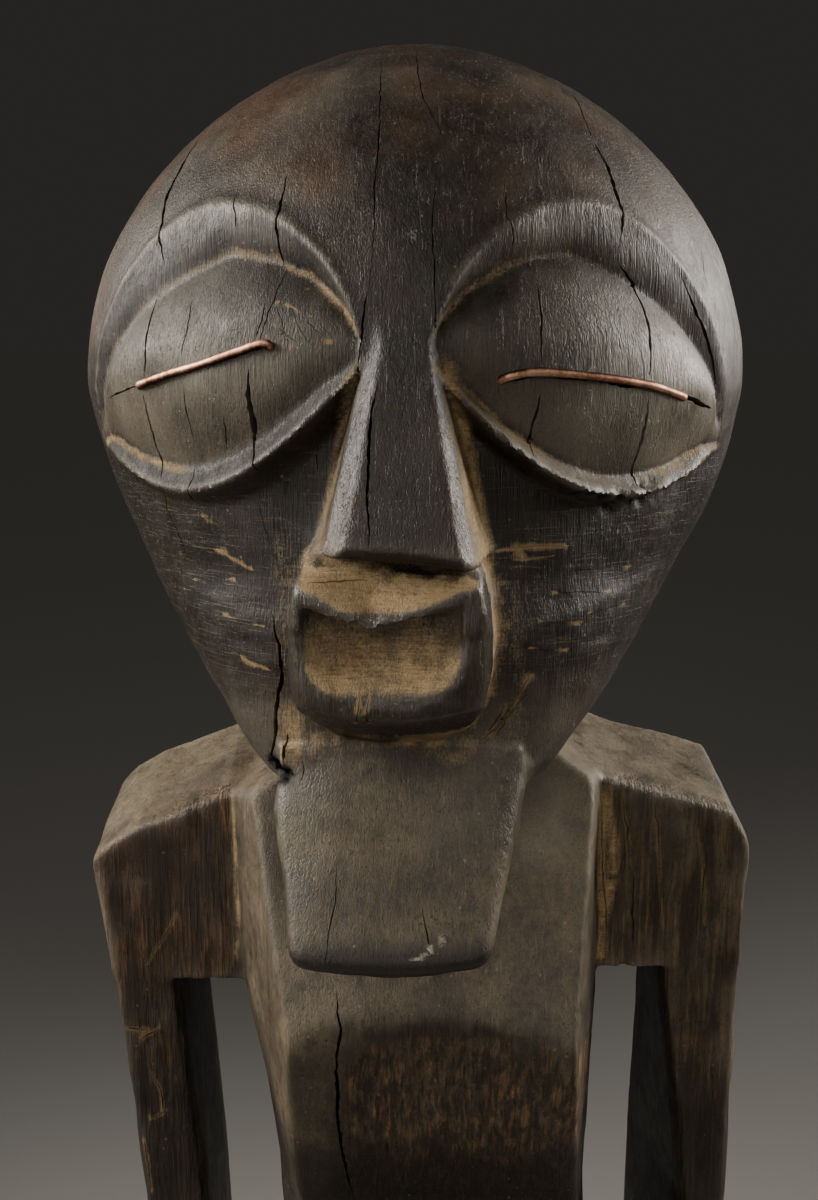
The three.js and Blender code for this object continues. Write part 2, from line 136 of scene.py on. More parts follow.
def eye_lines(turn):
    s = np.abs(turn)
    out = np.maximum(0.0, s - 45.0)
    high = EYE_LEVEL + 31.8 * quarter((s - 45.0) / np.where(s < 45, 38.0, 42.0))
    high = high - 15.0 * (out / 40.0) ** 2.2
    over = EYE_LEVEL + 22.0 * quarter((s - 42.0) / np.where(s < 42, 35.5, 41.0))
    over = over - 0.29 * np.maximum(0.0, s - 42.0)
    low = EYE_LEVEL - 27.0 * (1.0 - ((s - 55.0) / np.where(s < 55, 48.0, 60.0)) ** 2)
    span = np.maximum(high - low, 0.5)
    over = np.clip(over, low + 0.5 * span, low + 0.93 * span)
    under = low + np.where(turn < 0, np.minimum(5.2, 0.17 * span), np.minimum(3.6, 0.13 * span))
    return low, under, over, high


def eye_carving(turn, z):
    s = np.abs(turn)
    right = turn < 0
    low, under, over, high = eye_lines(turn)
    start = clamp((s - 7.4) / 11.0)
    end = clamp((88.0 - s) / 15.0)
    ends = np.sqrt(start) * end**0.7
    outer = clamp((s - 45.0) / 30.0)
    top = 4.6 * ends * np.where(right, 1.0 - 0.5 * outer, 1.0 - 0.35 * outer)
    foot = np.where(right, 2.6, 3.0) * ends
    drop = (high - z) / (high - over)
    cove = -top * np.where(drop > 0, 0.42 * drop + 0.58 * np.abs(drop) ** 2.0, 0.42 * drop)
    rim = -foot * (z - low) / (under - low)
    middle = 0.5 * (over + under)
    across = (z - middle) / (over - middle)
    lid = -0.3 - np.where(across > 0, top, 1.05 * foot) * np.abs(across) ** 2.3
    carved = blend_max(blend_max(cove, rim, 0.5), lid, np.where(right, 1.3, 0.7))
    carved = np.where(ends > 0, blend_min(carved, 0.0 * carved, 0.6), 0.0)
    brow_edge = 0.65 * np.exp(-(((z - high - 0.4) / 1.7) ** 2)) * np.sqrt(start) * end
    cheek_edge = np.where(right, 0.5, 0.6) * np.exp(-(((z - low - 0.6) / 1.5) ** 2)) * start * end
    return carved + brow_edge + cheek_edge


# The cheek is hollowed under the rim, deepest in the gutter beside the nose.
def cheek_carving(turn, z):
    s = np.abs(turn)
    right = turn < 0
    low = eye_lines(np.clip(s, 7.4, 86.0) * np.where(right, -1.0, 1.0))[0]
    foot = np.minimum(528.0 + 0.18 * s, low - 5.0)
    v = np.clip((z - foot) / (low - 1.6 - foot), 0.0, 1.3)
    hollow = -(7.5 - np.where(right, 5.9, 5.0) * clamp(s / np.where(right, 52.0, 70.0))) * v**0.8
    step = -np.where(right, 1.05, 1.9) * np.maximum(low - z, 0.0)
    fade = clamp((90.0 - s) / 12.0)
    return np.where(z < low, blend_max(hollow, step, np.where(right, 1.8, 0.8)) * fade, 0.0)


def head_field(x, y, z):
    reach, radius, angle = head_polar(x, y, z)
    turn = (angle - FACE_TURN) * FACE_ARC
    near = (np.abs(turn) < 92) & (z < 626) & (z > 524)
    relief = np.where(near, eye_carving(turn, z) + cheek_carving(turn, z), 0.0)
    lean = np.interp(z, LEVELS, LEVEL_LEAN)
    field = (reach - radius - relief) / np.sqrt(1.0 + lean * lean)
    field = np.maximum(field, z - CROWN)
    return blend_max(field, JAW - z, 3.0)


# The nose is a long wedge with a flat front and a pared facet down each edge, the broader
# one on the figure's right. Its foot is cut across and bevelled, lower on the left.
NOSE_ROOT = 592.0
NOSE_LENGTH = 39.5


def face_axes(x, y):
    c = math.cos(FACE_TURN)
    s = math.sin(FACE_TURN)
    return (x - HEAD_X) * c + (y - HEAD_Y) * s, (x - HEAD_X) * s - (y - HEAD_Y) * c


def half_nose(fall):
    return 6.4 + 8.4 * np.maximum(fall, 0.0)


def nose_field(across, out, z):
    a = across - 1.0
    fall = np.clip((NOSE_ROOT - z) / NOSE_LENGTH, -0.5, 1.2)
    front = 74.9 + 15.1 * np.maximum(fall, 0.0) + 22.0 * np.minimum(fall, 0.0)
    half = half_nose(fall) - 4.0 * np.minimum(fall, 0.0)
    aside = np.abs(a)
    wide = np.where(a < 0, 2.6 + 2.0 * fall, 1.0 + 1.8 * fall)
    back = np.where(a < 0, 3.2 + 1.6 * fall, 2.2 + 1.2 * fall)
    face = (out - front) * 0.94
    pared = ((aside - half + wide) * back + (out - front) * wide) / np.sqrt(wide * wide + back * back)
    side = (aside - half - 0.14 * np.maximum(front - back - out, 0.0)) * 0.97
    foot = 551.6 - 0.075 * a - z
    field = blend_max(blend_max(face, pared, 0.6), side, 0.7)
    field = blend_max(field, (foot + out - front + 2.6 - 0.03 * np.abs(a + 2.0)) * 0.7, 0.5)
    field = blend_max(field, foot, 0.8)
    return np.maximum(np.maximum(field, z - 607.0), 50.0 - out)


# The mouth is a square cup with a round bottom: a slope from the nose down to a thick upper
# lip that dips in the middle, a thick lower lip undercut to the chin, and a hollow between.
UPPER_LIP = 543.6
LIP_DIP = 4.2


def cup_distance(a, z, half, top, foot, corner):
    height = 0.5 * (top - foot)
    dx = np.abs(a) - (half - corner)
    dz = -(z - (top + foot) * 0.5) - (height - corner)
    low = np.sqrt(np.maximum(dx, 0.0) ** 2 + np.maximum(dz, 0.0) ** 2)
    return low + np.minimum(np.maximum(dx, dz), 0.0) - corner


def mouth_hollow(a, z):
    return cup_distance(a + 1.15, z, 15.5, 548.0, 525.3, 8.5)


def lip_notch(a):
    return clamp(1.0 - np.abs(a + 3.4) / np.where(a < -3.4, 15.5, 20.5))


def mouth_field(across, out, z):
    a = across + 0.7
    notch = lip_notch(a)
    dip = 5.4 * notch**1.15
    ahead = np.clip((out - 76.0) / 12.5, 0.0, 1.2)
    droop = 0.4 * np.maximum(np.abs(a) - 13.0, 0.0) ** 1.25 * (1.0 - 0.8 * ahead)
    lip_top = 554.5 - 7.2 * ahead - dip * ahead**1.6 - droop
    flare = 0.05 * (91.0 - out)
    narrow = np.interp(
        z, [508.0, 515.0, 521.0, 530.0, 542.0, 548.0, 556.0], [12.5, 15.6, 18.2, 19.8, 19.2, 17.8, 13.5])
    shell = cup_distance(a * 19.4 / narrow, z, 19.4 + flare, 552.0, 509.0, 9.0)
    body = blend_max(shell, (z - lip_top) * 0.87, 1.0)
    front = 91.4 - 0.008 * a * a - 1.2 * clamp((z - 538.0) / 10.0)
    undercut = 2.0 * np.maximum(521.4 + 0.006 * a * a - z, 0.0)
    body = blend_max(body, (out - front) * 0.95, np.where(z > 538.0, 1.2, 3.6))
    body = blend_max(body, (out - front + undercut) * 0.45, 1.8)
    hollow = blend_max(mouth_hollow(a, z), z - UPPER_LIP + LIP_DIP * notch, 0.8)
    scoop = 82.0 + 7.8 * clamp((541.0 - z) / 15.5) ** 1.4 + 0.012 * a * a
    hollow = blend_max(hollow, scoop - out, 3.0)
    return np.maximum(blend_max(body, -hollow, np.where(z > 538.0, 0.9, 1.9)), 50.0 - out)


# The beard is a flat shovel that leans forward from the chin and hangs free of the chest.
# Its face runs up into the chin without a step.
BEARD_Y = -61.0
BEARD_Z = 507.0
BEARD_SLOPE = (0.491, 0.871)


def beard_axes(y, z):
    ahead, down = BEARD_SLOPE
    along = -(y - BEARD_Y) * ahead - (z - BEARD_Z) * down
    return along, (y - BEARD_Y) * down - (z - BEARD_Z) * ahead


def beard_field(x, y, z):
    along, depth = beard_axes(y, z)
    t = np.clip(along / 44.8, -0.2, 1.1)
    centre = -1.9 - 2.2 * t
    near = np.interp(
        t, [-0.2, -0.1, -0.02, 0.05, 0.16, 0.25, 0.6, 1.0, 1.1],
        [-13, -20, -24.2, -25.6, -27.8, -28.6, -26.4, -24.4, -23.6])
    far = np.interp(
        t, [-0.2, -0.1, -0.02, 0.03, 0.16, 0.6, 1.0, 1.1],
        [11, 18.5, 23.5, 25.0, 24.9, 20.4, 16.3, 15.3])
    side = np.maximum(near - x, x - far) * 0.98
    face = 0.0025 * (x - centre) ** 2 - depth + 0.9 * np.clip(-along / 6.0, 0.0, 1.5)
    face = face + 0.012 * np.maximum(centre - 11.0 - x, 0.0) ** 2 + 0.06 * np.maximum(x - far + 4.5, 0.0) ** 2
    field = blend_max(side, face, 2.0)
    field = blend_max(field, depth - 14.0, 3.0)
    bottom = along - 45.2 + 0.004 * (x - centre) ** 2
    field = blend_max(field, bottom, 3.6)
    return blend_max(field, -along - 9.0, 1.2)


def beard_root(x, y, z):
    slope = -34.0 - 0.75 * (507.0 - z)
    field = np.maximum(np.abs(x + 1.9) - 25.5, y - slope - 4.0)
    field = np.maximum(field, -59.5 - y)
    return np.maximum(np.maximum(field, z - 507.5), 489.0 - z)


# The trunk is one squared beam: a chest that leans out to a ledge, a narrower waist, a round
# belly and the hips. Its middle drifts to one side. A bar is cut from sections, with its
# corners at each height given in order round it.
TRUNK = np.array([
    # z, middle, face right, face left, half side, front, side depth, back
    [186, 0, 26, 26, 43, -24, -8, 40], [220, 1, 30, 30, 47, -32, -10, 54],
    [248, 3, 27, 27, 43, -42, -14, 47], [274, 5, 22, 22, 43, -60, -22, 38],
    [302, 6, 22, 22, 42, -62, -22, 36], [334, 7, 26, 26, 40, -42, -12, 36],
    [376, 6.4, 34, 36, 41.2, -30, -8, 38], [400, 5.0, 34, 36, 43.5, -38, -7, 39],
    [424, 3.2, 32, 36.5, 46.5, -46, -6, 40], [430, 2.8, 31.5, 36.5, 46.8, -46.5, -6, 40],
    [480, 1.4, 39.5, 44.2, 47.5, -20, -7, 38], [498, 1.4, 39, 44, 47.5, -10, -5, 36],
], dtype=float)
TRUNK_TOP_X = [-47.0, -45.0, -30.0, -20.0, 20.0, 33.0, 46.5, 48.0]
TRUNK_TOP_Z = [478.0, 479.0, 488.0, 491.0, 496.0, 494.0, 485.5, 484.5]


def bar(x, y, corners, ease):
    field = None
    for (x1, y1), (x2, y2) in zip(corners, corners[1:] + corners[:1]):
        length = np.sqrt((x2 - x1) ** 2 + (y2 - y1) ** 2)
        edge = ((y2 - y1) * (x - x1) - (x2 - x1) * (y - y1)) / length
        field = edge if field is None else blend_max(field, edge, ease)
    return field


def trunk_field(x, y, z):
    mid, right, left, side, front, side_y, back = [
        np.interp(z, TRUNK[:, 0], TRUNK[:, i]) for i in range(1, 8)]
    arch = z - 9.0 * clamp(1.0 - ((x - 3.0) / 34.0) ** 2) * np.exp(-(((z - 430.0) / 26.0) ** 2))
    front = sum(np.interp(arch + lift, TRUNK[:, 0], TRUNK[:, 5]) for lift in (-2.5, 0.0, 2.5)) / 3.0
    rear = back - 9.0
    corners = [
        (-right, front), (left, front), (side, side_y), (side, rear),
        (side - 9.0, back), (9.0 - side, back), (-side, rear), (-side, side_y),
    ]
    field = bar(x - mid, y, corners, 1.4)
    field = blend_max(field, (z - np.interp(x, TRUNK_TOP_X, TRUNK_TOP_Z)) * 0.88, 2.0)
    return np.maximum(field, 187.0 - z)


def neck_field(x, y, z):
    field = np.sqrt(x * x + (y - 8.0) ** 2) - 28.5 - 0.02 * (532.0 - z)
    return np.maximum(np.maximum(field, z - 532.0), 468.0 - z)


# Shoulders are square blocks set back from the chest, with tops that slope outwards. Arms
# hang from them like bars and bend at the elbow, and flat hands lie on the belly.
ARMS = {
    -1: dict(
        top_x=[28, 47, 60.6, 69.4, 77, 81.5, 86], top_z=[480, 478.6, 472.8, 469.7, 465, 461, 450],
        tilt=0.17, pit=427.0, z=[300, 318, 362, 427, 461, 470],
        far=[70.9, 70.9, 72.8, 78, 81.2, 82], near=[53, 53, 55.2, 61.2, 63, 63],
        near_back=[53, 53, 54.6, 59.4, 60, 60],
    ),
    1: dict(
        top_x=[28, 47, 57.5, 67.5, 75.5, 83, 89], top_z=[486, 484, 480.6, 478, 476, 473.5, 463],
        tilt=0.12, pit=430.5, z=[300, 318, 362, 427, 461, 470],
        far=[85, 85.5, 87.4, 87.3, 87.0, 86.2], near=[68, 70, 74.5, 65.9, 65.9, 65.9],
        near_back=[64, 65, 65, 66.6, 67, 67],
    ),
}
ARM_FRONT = -8.0
ARM_BACK = 34.0


def arm_field(side, x, y, z):
    row = ARMS[side]
    u = x * side
    far = np.interp(z, row["z"], row["far"])
    near = np.interp(z, row["z"], row["near"])
    near_back = np.interp(z, row["z"], row["near_back"])
    pared = np.interp(z, [385.0, 430.0], [2.5, 0.4])
    belly = 2.2 * clamp(1.0 - ((y - 10.0) / 22.0) ** 2) * clamp((z - 440.0) / 20.0)
    corners = [
        (near + 1.5, ARM_FRONT), (far - pared, ARM_FRONT), (far, ARM_FRONT + 3.5), (far, ARM_BACK - 6),
        (far - 6, ARM_BACK), (near_back + 3, ARM_BACK), (near_back, ARM_BACK - 4), (near, ARM_FRONT + 2),
    ]
    upper = bar(u, y, corners, 1.6)
    upper = np.maximum(upper, z - 455.0)
    upper = np.maximum(upper, 303.0 - z)
    block = blend_max(u - far - belly, ARM_FRONT - y, 2.0)
    block = blend_max(block, y - ARM_BACK, 3.0)
    top = np.interp(u, row["top_x"], row["top_z"]) + row["tilt"] * (y - ARM_FRONT)
    block = blend_max(block, (z - top) * 0.95, 2.0)
    block = blend_max(block, row["pit"] - z, 1.0)
    block = np.maximum(block, 26.0 - u)
    return blend_min(upper, block, 0.8)


def taper(x, y, z, start, end, wide, tall, ease):
    a = np.array(start, dtype=float)
    run = np.array(end, dtype=float) - a
    length = float(np.linalg.norm(run))
    run = run / length
    flat = np.array([-run[1], run[0], 0.0]) / math.hypot(run[0], run[1])
    up = np.cross(run, flat)
    px, py, pz = x - a[0], y - a[1], z - a[2]
    t = px * run[0] + py * run[1] + pz * run[2]
    share = clamp(t / length)
    across = np.abs(px * flat[0] + py * flat[1]) - (wide[0] + (wide[1] - wide[0]) * share)
    height = np.abs(px * up[0] + py * up[1] + pz * up[2]) - (tall[0] + (tall[1] - tall[0]) * share)
    field = blend_max(across, height, ease)
    return blend_max(field, np.maximum(-t, t - length), ease)


def forearm_field(side, x, y, z):
    far = ARMS[side]["far"][1]
    elbow = (side * (far - 9.0), 30.0, 315.0)
    fore = taper(x, y, z, elbow, (side * 41.0, -52.0, 309.0), (9.0, 7.5), (12.5, 11.0), 4.0)
    palm = taper(
        x, y, z, (side * 46.0, -49.0, 309.0), (side * 12.5, -65.0, 308.5), (6.5, 4.5), (12.0, 10.0), 3.5)
    u = x * side
    for level in (302.8, 308.6, 314.4):
        slot = np.abs(z - level) - 0.35 * np.maximum(-y - 60.5 - 0.35 * (30.0 - u), 0.0)
        slot = np.maximum(slot, u - 31.0)
        palm = blend_max(palm, -slot, 0.8)
    return blend_min(fore, palm, 4.0)


# Legs are short bars bent at the knee, on broad block feet with notched toes.
LEG = np.array([
    # z, middle, half width, front, back, corner
    [38, 25, 13.5, -7, 27, 5], [70, 25, 14, -9, 27, 5], [120, 25, 17.5, -26, 22, 6],
    [140, 25, 18.5, -30, 20, 7], [197, 23.5, 20.5, -24, 42, 9],
], dtype=float)


def leg_field(side, x, y, z):
    mid, half, front, back, cut = [np.interp(z, LEG[:, 0], LEG[:, i]) for i in range(1, 6)]
    u = x * side - mid
    corners = [
        (cut - half, front), (half - cut, front), (half, front + cut), (half, back - cut),
        (half - cut, back), (cut - half, back), (-half, back - cut), (-half, front + cut),
    ]
    bars = bar(u, y, corners, 3.0)
    bars = np.maximum(np.maximum(bars, z - 196.0), 37.0 - z)
    v = x * side - 25.0
    wide = np.interp(y, [-68, -60, 31, 36], [12.5, 18.5, 17, 14])
    top = np.interp(y, [-68, -50, -8, 26, 36], [43.0, 49.0, 64.0, 64.0, 50.0])
    foot = blend_max(np.abs(v) - wide, (z - top + 0.02 * v * v) * 0.95, 3.0)
    foot = blend_max(foot, np.maximum(-68.0 - y, y - 36.0), 3.0)
    foot = np.maximum(foot, 33.0 - z)
    for i in range(1, 5):
        line = -17.0 + i * 6.8
        notch = np.abs(v - line) - 0.45 * np.maximum(z - 37.0 - 0.55 * np.maximum(y + 66.0, 0.0), 0.0)
        notch = np.maximum(notch, y + 50.0)
        foot = blend_max(foot, -notch, 0.8)
    return blend_min(bars, foot, 4.0)


# At the corner of the jaw a bit of wood has broken out where two checks meet.
def broken_corner(x, y, z):
    ragged = 0.22 * np.sin(2.3 * x + 0.9 * y) * np.sin(1.9 * z - 0.7 * y)
    rise = z - 502.3 + 0.3 * (x + 28.0)
    reach = np.sqrt(((x + 28.0) / 3.6) ** 2 + ((y + 57.5) / 5.5) ** 2 + (rise / 2.1) ** 2)
    return (reach - 1.0 + ragged) * 2.4


def navel_field(x, y, z):
    return np.sqrt((x - 5.5) ** 2 + (y + 60.5) ** 2 + (z - 290.0) ** 2) - 7.0


# The base is a low drum left at the foot of the block, its rim softened with a knife.
def base_field(x, y, z):
    reach = np.sqrt(x * x + y * y)
    field = blend_max(reach - 90.0, z - 36.0, 5.0)
    return blend_max(field, -z, 1.5)


# All of this is one block of wood, so the fields are joined. Neighbours that the knife has
# run into each other meet in a small fillet, and crisp ones in almost none.
def figure_field(x, y, z):
    low = float(np.min(z))
    high = float(np.max(z))
    field = np.full(np.broadcast(x, y, z).shape, 60.0, dtype=np.float32)

    def add(part, ease):
        nonlocal field
        field = blend_min(field, part.astype(np.float32), ease)

    if high > 455:
        add(head_field(x, y, z), 1.0)
        across, out = face_axes(x, y)
        add(nose_field(across, out, z), 1.6)
        add(mouth_field(across, out, z), 1.2)
        add(beard_field(x, y, z), 3.0)
        add(beard_root(x, y, z), 2.0)
        add(neck_field(x, y, z), 3.0)
        field = np.maximum(field, -broken_corner(x, y, z).astype(np.float32))
    if high > 180 and low < 500:
        add(trunk_field(x, y, z), 1.5)
    if high > 290 and low < 500:
        for side in (-1, 1):
            add(arm_field(side, x, y, z), 1.2)
    if high > 285 and low < 345:
        for side in (-1, 1):
            add(forearm_field(side, x, y, z), 3.0)
        add(navel_field(x, y, z), 1.5)
    if low < 205:
        for side in (-1, 1):
            add(leg_field(side, x, y, z), 4.0)
        add(base_field(x, y, z), 1.5)
    return field


# The surface is drawn out of the field in small cells, finest over the face: one vertex in
# each cell that the surface crosses, and one square round each edge that it crosses.
def steps(stops):
    line = [stops[0][0]]
    for (a, _), (b, size) in zip(stops, stops[1:]):
        count = max(1, int(round((b - a) / size)))
        line.extend(np.linspace(a, b, count + 1)[1:])
    return np.array(line)


GX = steps([(-95.0, 0), (-32.0, 1.05), (32.0, 0.9), (95.0, 1.05)])
GY = steps([(-95.0, 0), (-45.0, 0.9), (-12.0, 1.0), (10.0, 1.6), (95.0, 2.4)])
GZ = steps([(-4.0, 0), (350.0, 2.2), (455.0, 1.3), (625.0, 0.95), (664.0, 1.3)])


def sample_grid():
    shape = (len(GX), len(GY), len(GZ))
    grid = np.empty(shape, dtype=np.float32)
    width = 12
    for k in range(0, len(GZ), width):
        z = GZ[k:k + width].astype(np.float32)
        grid[:, :, k:k + width] = figure_field(
            GX.astype(np.float32)[:, None, None], GY.astype(np.float32)[None, :, None], z[None, None, :])
    return grid


def surface_of(grid):
    inside = grid < 0
    counts = np.zeros(tuple(n - 1 for n in grid.shape), dtype=np.int8)
    nx, ny, nz = counts.shape
    for i, j, k in product((0, 1), repeat=3):
        counts += inside[i:i + nx, j:j + ny, k:k + nz]
    crossed = (counts > 0) & (counts < 8)
    index = np.full(crossed.shape, -1, dtype=np.int32)
    ci, cj, ck = np.nonzero(crossed)
    index[ci, cj, ck] = np.arange(len(ci))
    total = np.zeros((len(ci), 3))
    hits = np.zeros(len(ci))
    lines = (GX, GY, GZ)
    for axis, p, q in product(range(3), (0, 1), (0, 1)):
        o1, o2 = [c for c in range(3) if c != axis]
        a = [ci, cj, ck]
        a[o1] = a[o1] + p
        a[o2] = a[o2] + q
        b = list(a)
        b[axis] = b[axis] + 1
        va = grid[tuple(a)]
        vb = grid[tuple(b)]
        cut = (va < 0) != (vb < 0)
        t = np.where(cut, va / np.where(cut, va - vb, 1.0), 0.0)
        where = [lines[c][a[c]] for c in range(3)]
        where[axis] = where[axis] * (1 - t) + lines[axis][b[axis]] * t
        for c in range(3):
            total[:, c] += np.where(cut, where[c], 0.0)
        hits += cut
    points = total / hits[:, None]
    quads = []
    for axis in range(3):
        o1, o2 = [c for c in range(3) if c != axis]
        lo = [slice(None)] * 3
        hi = [slice(None)] * 3
        lo[axis] = slice(0, -1)
        hi[axis] = slice(1, None)
        flip = inside[tuple(lo)] != inside[tuple(hi)]
        e = list(np.nonzero(flip))
        keep = (e[o1] > 0) & (e[o2] > 0) & (e[o1] < grid.shape[o1] - 1) & (e[o2] < grid.shape[o2] - 1)
        e = [v[keep] for v in e]
        ring = []
        for p, q in ((-1, -1), (0, -1), (0, 0), (-1, 0)):
            cell = list(e)
            cell[o1] = cell[o1] + p
            cell[o2] = cell[o2] + q
            ring.append(index[tuple(cell)])
        ring = np.stack(ring, axis=1)
        turned = inside[tuple(e)] == (axis == 1)
        ring[turned] = ring[turned][:, ::-1]
        quads.append(ring)
    return points, np.concatenate(quads)


def pointwise(points, size=60000):
    order = np.argsort(points[:, 2])
    values = np.empty(len(points), dtype=np.float32)
    for k in range(0, len(order), size):
        part = order[k:k + size]
        values[part] = figure_field(points[part, 0], points[part, 1], points[part, 2])
    return values


def gradient(points, reach=0.35):
    return np.stack([
        pointwise(points + np.eye(3)[c] * reach) - pointwise(points - np.eye(3)[c] * reach) for c in range(3)
    ], axis=1) / (2 * reach)


def unit(rows):
    return rows / np.maximum(np.linalg.norm(rows, axis=1, keepdims=True), 1e-6)


def settle(points, rounds=2):
    for _ in range(rounds):
        slope = gradient(points)
        size = np.maximum((slope**2).sum(axis=1), 0.05)
        move = -(pointwise(points) / size)[:, None] * slope
        length = np.linalg.norm(move, axis=1, keepdims=True)
        points = points + move * np.minimum(1.0, 0.7 / np.maximum(length, 1e-6))
    return points


grid = sample_grid()
wood_points, wood_quads = surface_of(grid)
wood_points = settle(wood_points)


# The knife and the adze leave the surface a little uneven: broad shallow scallops all over,
# torn fibres on the arms and on the trunk under the chest, and a chipped rim under one eye.
LATTICE = 32


def lattice_noise(points, size, seed):
    table = np.random.default_rng(seed).random((LATTICE, LATTICE, LATTICE)).astype(np.float32)
    q = points / np.array(size)
    base = np.floor(q).astype(int)
    t = q - base
    t = t * t * (3.0 - 2.0 * t)
    value = 0.0
    for corner in product((0, 1), repeat=3):
        near = np.where(corner, t, 1 - t)
        place = (base + corner) % LATTICE
        value = value + near[:, 0] * near[:, 1] * near[:, 2] * table[tuple(place.T)]
    return value * 2.0 - 1.0


def bell(value, middle, width):
    return np.exp(-(((value - middle) / width) ** 2))


def ledge_height(x):
    return np.interp(
        x, [-48.0, -34.0, -17.0, -16.0, -10.0, 5.0, 21.0, 35.0, 46.0],
        [421, 420, 419, 424, 430, 434, 432, 427, 425])


def torn_share(points):
    x, y, z = points.T
    ragged = 4.0 * lattice_noise(points, (2.0, 6.0, 11.0), 21)
    arms = np.where((np.abs(x - 1.0) > 47) & (z < 482) & (y < -3) & (z > 290), 1.0, 0.0)
    smooth_patch = bell(x, -66.0, 15.0) * bell(z, 462.0, 14.0) + bell(x, 68.0, 6.0) * bell(z, 470.0, 12.0)
    arms = arms * clamp(1.0 - smooth_patch) * (0.7 + 0.5 * bell(np.abs(x - 1.0), 49.0, 11.0))
    arms = arms * np.clip(0.85 + 0.5 * lattice_noise(points, (7.0, 7.0, 14.0), 22), 0.3, 1.0)
    below = clamp((ledge_height(x) + ragged - z) / 3.0)
    trunk = np.where((np.abs(x) < 48) & (z > 330) & (y < -12), below, 0.0)
    trunk = trunk * np.clip((x + 17.0) / 3.0, 0.15, 1.0)
    return np.maximum(arms, 0.85 * trunk * bell(z, 412.0, 34.0))


def chipped_share(points):
    x, y, z = points.T
    turn = (head_polar(x, y, z)[2] - FACE_TURN) * FACE_ARC
    low = eye_lines(np.clip(turn, 7.5, 86.0))[0]
    return np.where((turn > 30) & (y < 0), bell(z, low - 0.6, 2.6) * bell(turn, 54.0, 17.0), 0.0)


outward = unit(gradient(wood_points))
torn = torn_share(wood_points)
scallop = lattice_noise(wood_points, (12.0, 12.0, 17.0), 3) * 0.34
scallop += lattice_noise(wood_points, (5.0, 5.0, 8.0), 4) * 0.15
cheek = bell(wood_points[:, 2], 528.0, 22.0) * (wood_points[:, 1] < 0)
scallop += np.minimum(lattice_noise(wood_points, (6.0, 6.0, 2.0), 8), 0.2) * 0.22 * cheek
fibre = lattice_noise(wood_points, (1.7, 6.0, 13.0), 5)
gouge = lattice_noise(wood_points, (4.0, 6.0, 9.0), 9)
fibre = 0.6 * np.minimum(fibre, 0.25) * np.clip(0.9 - 1.4 * gouge, 0.2, 1.6) + 0.55 * np.minimum(gouge, 0.0)
chips = np.minimum(lattice_noise(wood_points, (1.9, 1.9, 2.3), 7), 0.15) * 2.1
wood_points = wood_points + outward * (scallop + fibre * torn + chips * chipped_share(wood_points))[:, None]
wood_points[:, 2] = np.where(wood_points[:, 2] < 1.0, np.maximum(wood_points[:, 2], 0.0), wood_points[:, 2])


def mesh_of(name, points, faces):
    mesh = bpy.data.meshes.new(name)
    mesh.vertices.add(len(points))
    mesh.vertices.foreach_set("co", (points * MM).astype(np.float32).ravel())
    count = faces.shape[1]
    mesh.loops.add(faces.size)
    mesh.loops.foreach_set("vertex_index", faces.astype(np.int32).ravel())
    mesh.polygons.add(len(faces))
    mesh.polygons.foreach_set("loop_start", np.arange(0, faces.size, count, dtype=np.int32))
    mesh.update(calc_edges=True)
    return mesh


WOOD_TRIANGLES = 160000
wood = put_in_scene("carved_wood", mesh_of("carved_wood", wood_points, wood_quads))
thin = wood.modifiers.new("thin", "DECIMATE")
thin.ratio = min(1.0, WOOD_TRIANGLES / (2 * len(wood_quads)))


